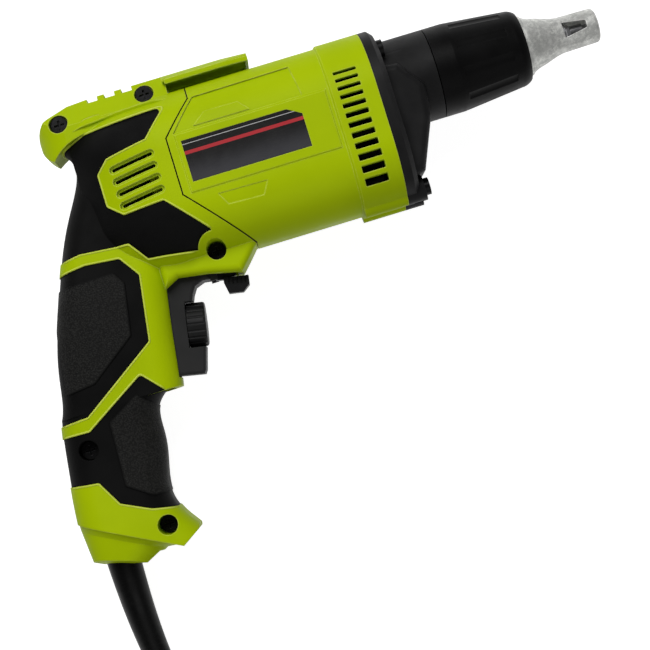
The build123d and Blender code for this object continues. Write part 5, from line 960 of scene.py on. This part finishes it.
def lip_route(corners):
    """Closed route round a grip's outline, a little outside it, with its corners rounded."""
    points = [Vector(c) for c in corners]
    count = len(points)
    turn = sum(a.cross(b) for a, b in zip(points, points[1:] + points[:1]))
    way = 1.0 if turn > 0 else -1.0
    moved = []
    for number, point in enumerate(points):
        before = (point - points[number - 1]).normalized()
        after = (points[(number + 1) % count] - point).normalized()
        first = way * Vector((before.y, -before.x))
        second = way * Vector((after.y, -after.x))
        moved.append(point + LIP_AWAY * (first + second) / (1.0 + first.dot(second)))
    bends = []
    for number, point in enumerate(moved):
        back = (moved[number - 1] - point).normalized()
        ahead = (moved[(number + 1) % count] - point).normalized()
        cut = GRIP_CORNER * math.tan((math.pi - back.angle(ahead)) / 2.0)
        bends.append((point + cut * back, point, point + cut * ahead))
    route = []
    for number, (enter, point, leave) in enumerate(bends):
        for step in range(LIP_BEND_STEPS + 1):
            share = step / LIP_BEND_STEPS
            route.append(enter.lerp(point, share).lerp(point.lerp(leave, share), share))
        end = bends[(number + 1) % count][0]
        steps = int((end - leave).length / LIP_STEP)
        route += [leave.lerp(end, step / steps) for step in range(1, steps)]
    return route


def lip_runs(shell, side, corners):
    """Stretches of a grip's lip that lie on the shell's skin, each a list of points and normals."""
    runs = [[]]
    for point in lip_route(corners):
        found, where, outward = skin_at(shell, side, point)
        clear = (point - Vector(BOSS_CENTRE)).length > BOSS_RADIUS
        if found and clear and outward.z * side > LIP_LEAST_FACING:
            runs[-1].append((where, outward))
        elif runs[-1]:
            runs.append([])
    return [run for run in runs if len(run) >= LIP_LEAST_POINTS]


def mean_normal(near):
    """Normal shared by neighbouring points of a skin."""
    return sum((normal for _, normal in near), Vector()).normalized()


def tapered(number, count, tip, growth):
    """Size of one of a row of rings, which grows from a tip at either end to 1."""
    return min(1.0, tip + growth * min(number, count - 1 - number))


def lip_rings(made, run):
    """Half-round rings along one stretch of a lip."""
    rings = []
    for number, (where, _) in enumerate(run):
        near = run[max(0, number - LIP_NEAR) : number + LIP_NEAR + 1]
        outward = mean_normal(near)
        along = (near[-1][0] - near[0][0]).normalized()
        across = along.cross(outward).normalized()
        size = tapered(number, len(run), LIP_TIP, LIP_GROWTH)
        ring = []
        for corner in range(LIP_SIDES + 1):
            angle = math.pi * corner / LIP_SIDES
            reach = LIP_HALF * size * math.cos(angle)
            lift = (LIP_RISE + LIP_SUNK) * size * math.sin(angle) - LIP_SUNK
            ring.append(made.verts.new(where + MM * (reach * across + lift * outward)))
        rings.append(ring)
    return rings


def grip_lips(shell_name, side):
    """Low rounded lips of the shell round its three grips."""
    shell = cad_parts[shell_name]
    made = bmesh.new()
    for corners in GRIP_OUTLINES:
        for run in lip_runs(shell, side, corners):
            join_rings(made, lip_rings(made, run))
    name = "grip_lips_right" if side > 0 else "grip_lips_left"
    lips = as_piece(name, made, LIP_HIGHLIGHT_FINISH, smooth=True)
    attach(lips, "tool")


def plan_bar(name, first, second, low, high, *finish):
    """Bar between two routes in plan and two heights."""
    made = bmesh.new()
    rings = []
    for (x, z), (other_x, other_z) in zip(first, second):
        corners = [(x, low, z), (x, high, z), (other_x, high, other_z), (other_x, low, other_z)]
        rings.append([made.verts.new(spot(*corner)) for corner in corners])
    skinned(name, made, rings, *finish)


def hook_underside():
    """Rim round the belt hook's lower edge, and the matte face that it encloses."""
    far_outer = [(x, -z) for x, z in reversed(HOOK_RIM_OUTER)]
    far_inner = [(x, -z) for x, z in reversed(HOOK_RIM_INNER)]
    outer = HOOK_RIM_OUTER + far_outer
    inner = HOOK_RIM_INNER + far_inner
    rim_finish = lime_plastic("lime hook rim")
    plan_bar("hook_rim", outer, inner, HOOK_RIM_LOW, HOOK_RIM_HIGH, rim_finish, "green_plastic")
    matte = lime_plastic("lime hook face", specular=0.0)
    left_edge = [(x, -z) for x, z in HOOK_RIM_INNER]
    plan_bar("hook_face", HOOK_RIM_INNER, left_edge, HOOK_FACE, HOOK_SUNK, matte, "green_plastic")


def lever_slot():
    """Short black walls of the lever's slot, and the shield that closes it above the lever."""
    finish = (FINISHES["trigger"], "black_plastic")
    for name, side in (("slot_wall_right", 1.0), ("slot_wall_left", -1.0)):
        near, far = ([(x, side * z) for x in SLOT_WALL_ENDS] for z in SLOT_WALL_SIDES)
        plan_bar(name, near, far, *SLOT_WALL_HEIGHTS, *finish)
    right, left = ([(x, z) for x in SHIELD_ENDS] for z in (SHIELD_HALF, -SHIELD_HALF))
    plan_bar("lever_shield", right, left, *SHIELD_HEIGHTS, *finish, "lever")


def rail_ridge(shell_name, side):
    """Ridge of the rail above the upper grip, which overhangs the skin below it."""
    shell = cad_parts[shell_name]
    route = []
    for first, second in zip(RIDGE_ROUTE, RIDGE_ROUTE[1:]):
        start, end = Vector(first), Vector(second)
        steps = int((end - start).length / RIDGE_STEP)
        route += [start.lerp(end, step / steps) for step in range(steps)]
    skin = []
    for point in route:
        found, where, outward = skin_at(shell, side, point)
        if found:
            skin.append((where, outward))
    made = bmesh.new()
    rings = []
    for number, (where, _) in enumerate(skin):
        outward = mean_normal(skin[max(0, number - RIDGE_NEAR) : number + RIDGE_NEAR + 1])
        upward = (Vector((0.0, 1.0, 0.0)) - outward.y * outward).normalized()
        size = tapered(number, len(skin), RIDGE_TIP, RIDGE_GROWTH)
        ring = []
        for reach, lift in RIDGE_SECTION:
            raised = size * lift - RIDGE_SUNK * (1.0 - size)
            ring.append(made.verts.new(where + MM * (size * reach * upward + raised * outward)))
        rings.append(ring)
    name = "rail_ridge_right" if side > 0 else "rail_ridge_left"
    skinned(name, made, rings, RIDGE_FINISH, "green_plastic")


def seam_shade_strip():
    """Dark strip in the top of the seam between housing and shells, in the seal's rubber, put in as
    painted shade.
    """
    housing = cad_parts["motor_housing"]
    seam_x = SEAM_LINE[0][0]
    back, front = seam_x - SHADE_STRIP_HALF, seam_x + SHADE_STRIP_HALF
    made = bmesh.new()
    rings = []
    for z in range(-SHADE_STRIP_REACH, SHADE_STRIP_REACH + 1):
        start = spot(seam_x + 3.0 * SHADE_STRIP_HALF, TOP_RAY, z)
        found, point, _, _ = housing.ray_cast(start, Vector((0.0, -1.0, 0.0)))
        top = point.y / MM - SHADE_STRIP_SUNK
        if found and top > SEAM_LINE[1][1]:
            low = top - SHADE_STRIP_DEPTH
            corners = [(back, top, z), (front, top, z), (front, low, z), (back, low, z)]
            rings.append([made.verts.new(spot(*corner)) for corner in corners])
    skinned("seam_shade_strip", made, rings, FINISHES["dust_seal"], "rubber")


def pale_floor():
    """Wide pale floor that keeps the tool's shadow."""
    made = bmesh.new()
    bmesh.ops.create_circle(made, cap_ends=True, segments=FLOOR_SIDES, radius=FLOOR_RADIUS * MM)
    mesh = bpy.data.meshes.new("pale_floor")
    made.to_mesh(mesh)
    made.free()
    floor = place("pale_floor", mesh)
    floor.location = spot(*FLOOR_MIDDLE)
    floor.location.z = CAD_BOX[0][2]
    material = bpy.data.materials.new("pale floor")
    material.use_nodes = True
    tree = material.node_tree
    tree.nodes.clear()
    paper = tree.nodes.new("ShaderNodeBsdfDiffuse")
    paper.inputs["Color"].default_value = FLOOR_TONE
    lift = tree.nodes.new("ShaderNodeEmission")
    rays = tree.nodes.new("ShaderNodeLightPath").outputs
    through = higher(tree, rays["Is Glossy Ray"], rays["Is Transmission Ray"])
    shown = higher(tree, rays["Is Camera Ray"], through)
    tree.links.new(times(tree, shown, FLOOR_LIFT), lift.inputs["Strength"])
    both = tree.nodes.new("ShaderNodeAddShader")
    tree.links.new(paper.outputs["BSDF"], both.inputs[0])
    tree.links.new(lift.outputs["Emission"], both.inputs[1])
    out = tree.nodes.new("ShaderNodeOutputMaterial")
    tree.links.new(both.outputs["Shader"], out.inputs["Surface"])
    mesh.materials.append(material)


def studio_world():
    """Pale walls under a darker ceiling."""
    world = bpy.data.worlds.new("studio")
    bpy.context.scene.world = world
    world.use_nodes = True
    tree = world.node_tree
    tree.nodes.clear()
    where = tree.nodes.new("ShaderNodeTexCoord")
    split = tree.nodes.new("ShaderNodeSeparateXYZ")
    tree.links.new(where.outputs["Generated"], split.inputs["Vector"])
    rise = ranged(tree, split.outputs["Z"], WALL_TOP, CEILING_EDGE)
    light = tree.nodes.new("ShaderNodeBackground")
    tree.links.new(tinted(tree, rise, WALL_TONE, CEILING_TONE), light.inputs["Color"])
    out = tree.nodes.new("ShaderNodeOutputWorld")
    tree.links.new(light.outputs["Background"], out.inputs["Surface"])


def soft_box(name, right, up, height, size, power):
    """Square lamp placed in image directions from the middle of the tool, and aimed at it."""
    middle = spot(*LAMP_AIM)
    data = bpy.data.lights.new(name, "AREA")
    data.shape = "SQUARE"
    data.size = size
    data.energy = power
    lamp = place(name, data)
    lamp.location = middle + IMAGE_RIGHT * right + IMAGE_UP * up + Vector((0.0, 0.0, height))
    lamp.rotation_mode = "QUATERNION"
    lamp.rotation_quaternion = (middle - lamp.location).to_track_quat("-Z", "Y")


def studio_camera():
    data = bpy.data.cameras.new("studio camera")
    data.sensor_width = CAMERA_SENSOR
    data.lens = CAMERA_LENS
    camera = place("studio camera", data)
    eye = spot(*CAMERA_FOOT, CAMERA_HEIGHT)
    back = (eye - spot(*CAMERA_AIM)).normalized()
    across = IMAGE_UP.cross(back).normalized()
    upward = back.cross(across)
    turn = Matrix((across, upward, back)).transposed()
    camera.matrix_world = Matrix.Translation(eye) @ turn.to_4x4()
    bpy.context.scene.camera = camera


studio_camera()
mains_lead()
spring_wire()
dress_nodes()
grip_lips("handle_shell_right", 1.0)
grip_lips("handle_shell_left", -1.0)
hook_underside()
lever_slot()
rail_ridge("handle_shell_right", 1.0)
rail_ridge("handle_shell_left", -1.0)
seam_shade_strip()
pale_floor()
studio_world()
soft_box("key lamp", **KEY_LAMP)
soft_box("fill lamp", **FILL_LAMP)
bpy.context.scene.view_settings.view_transform = "Standard"
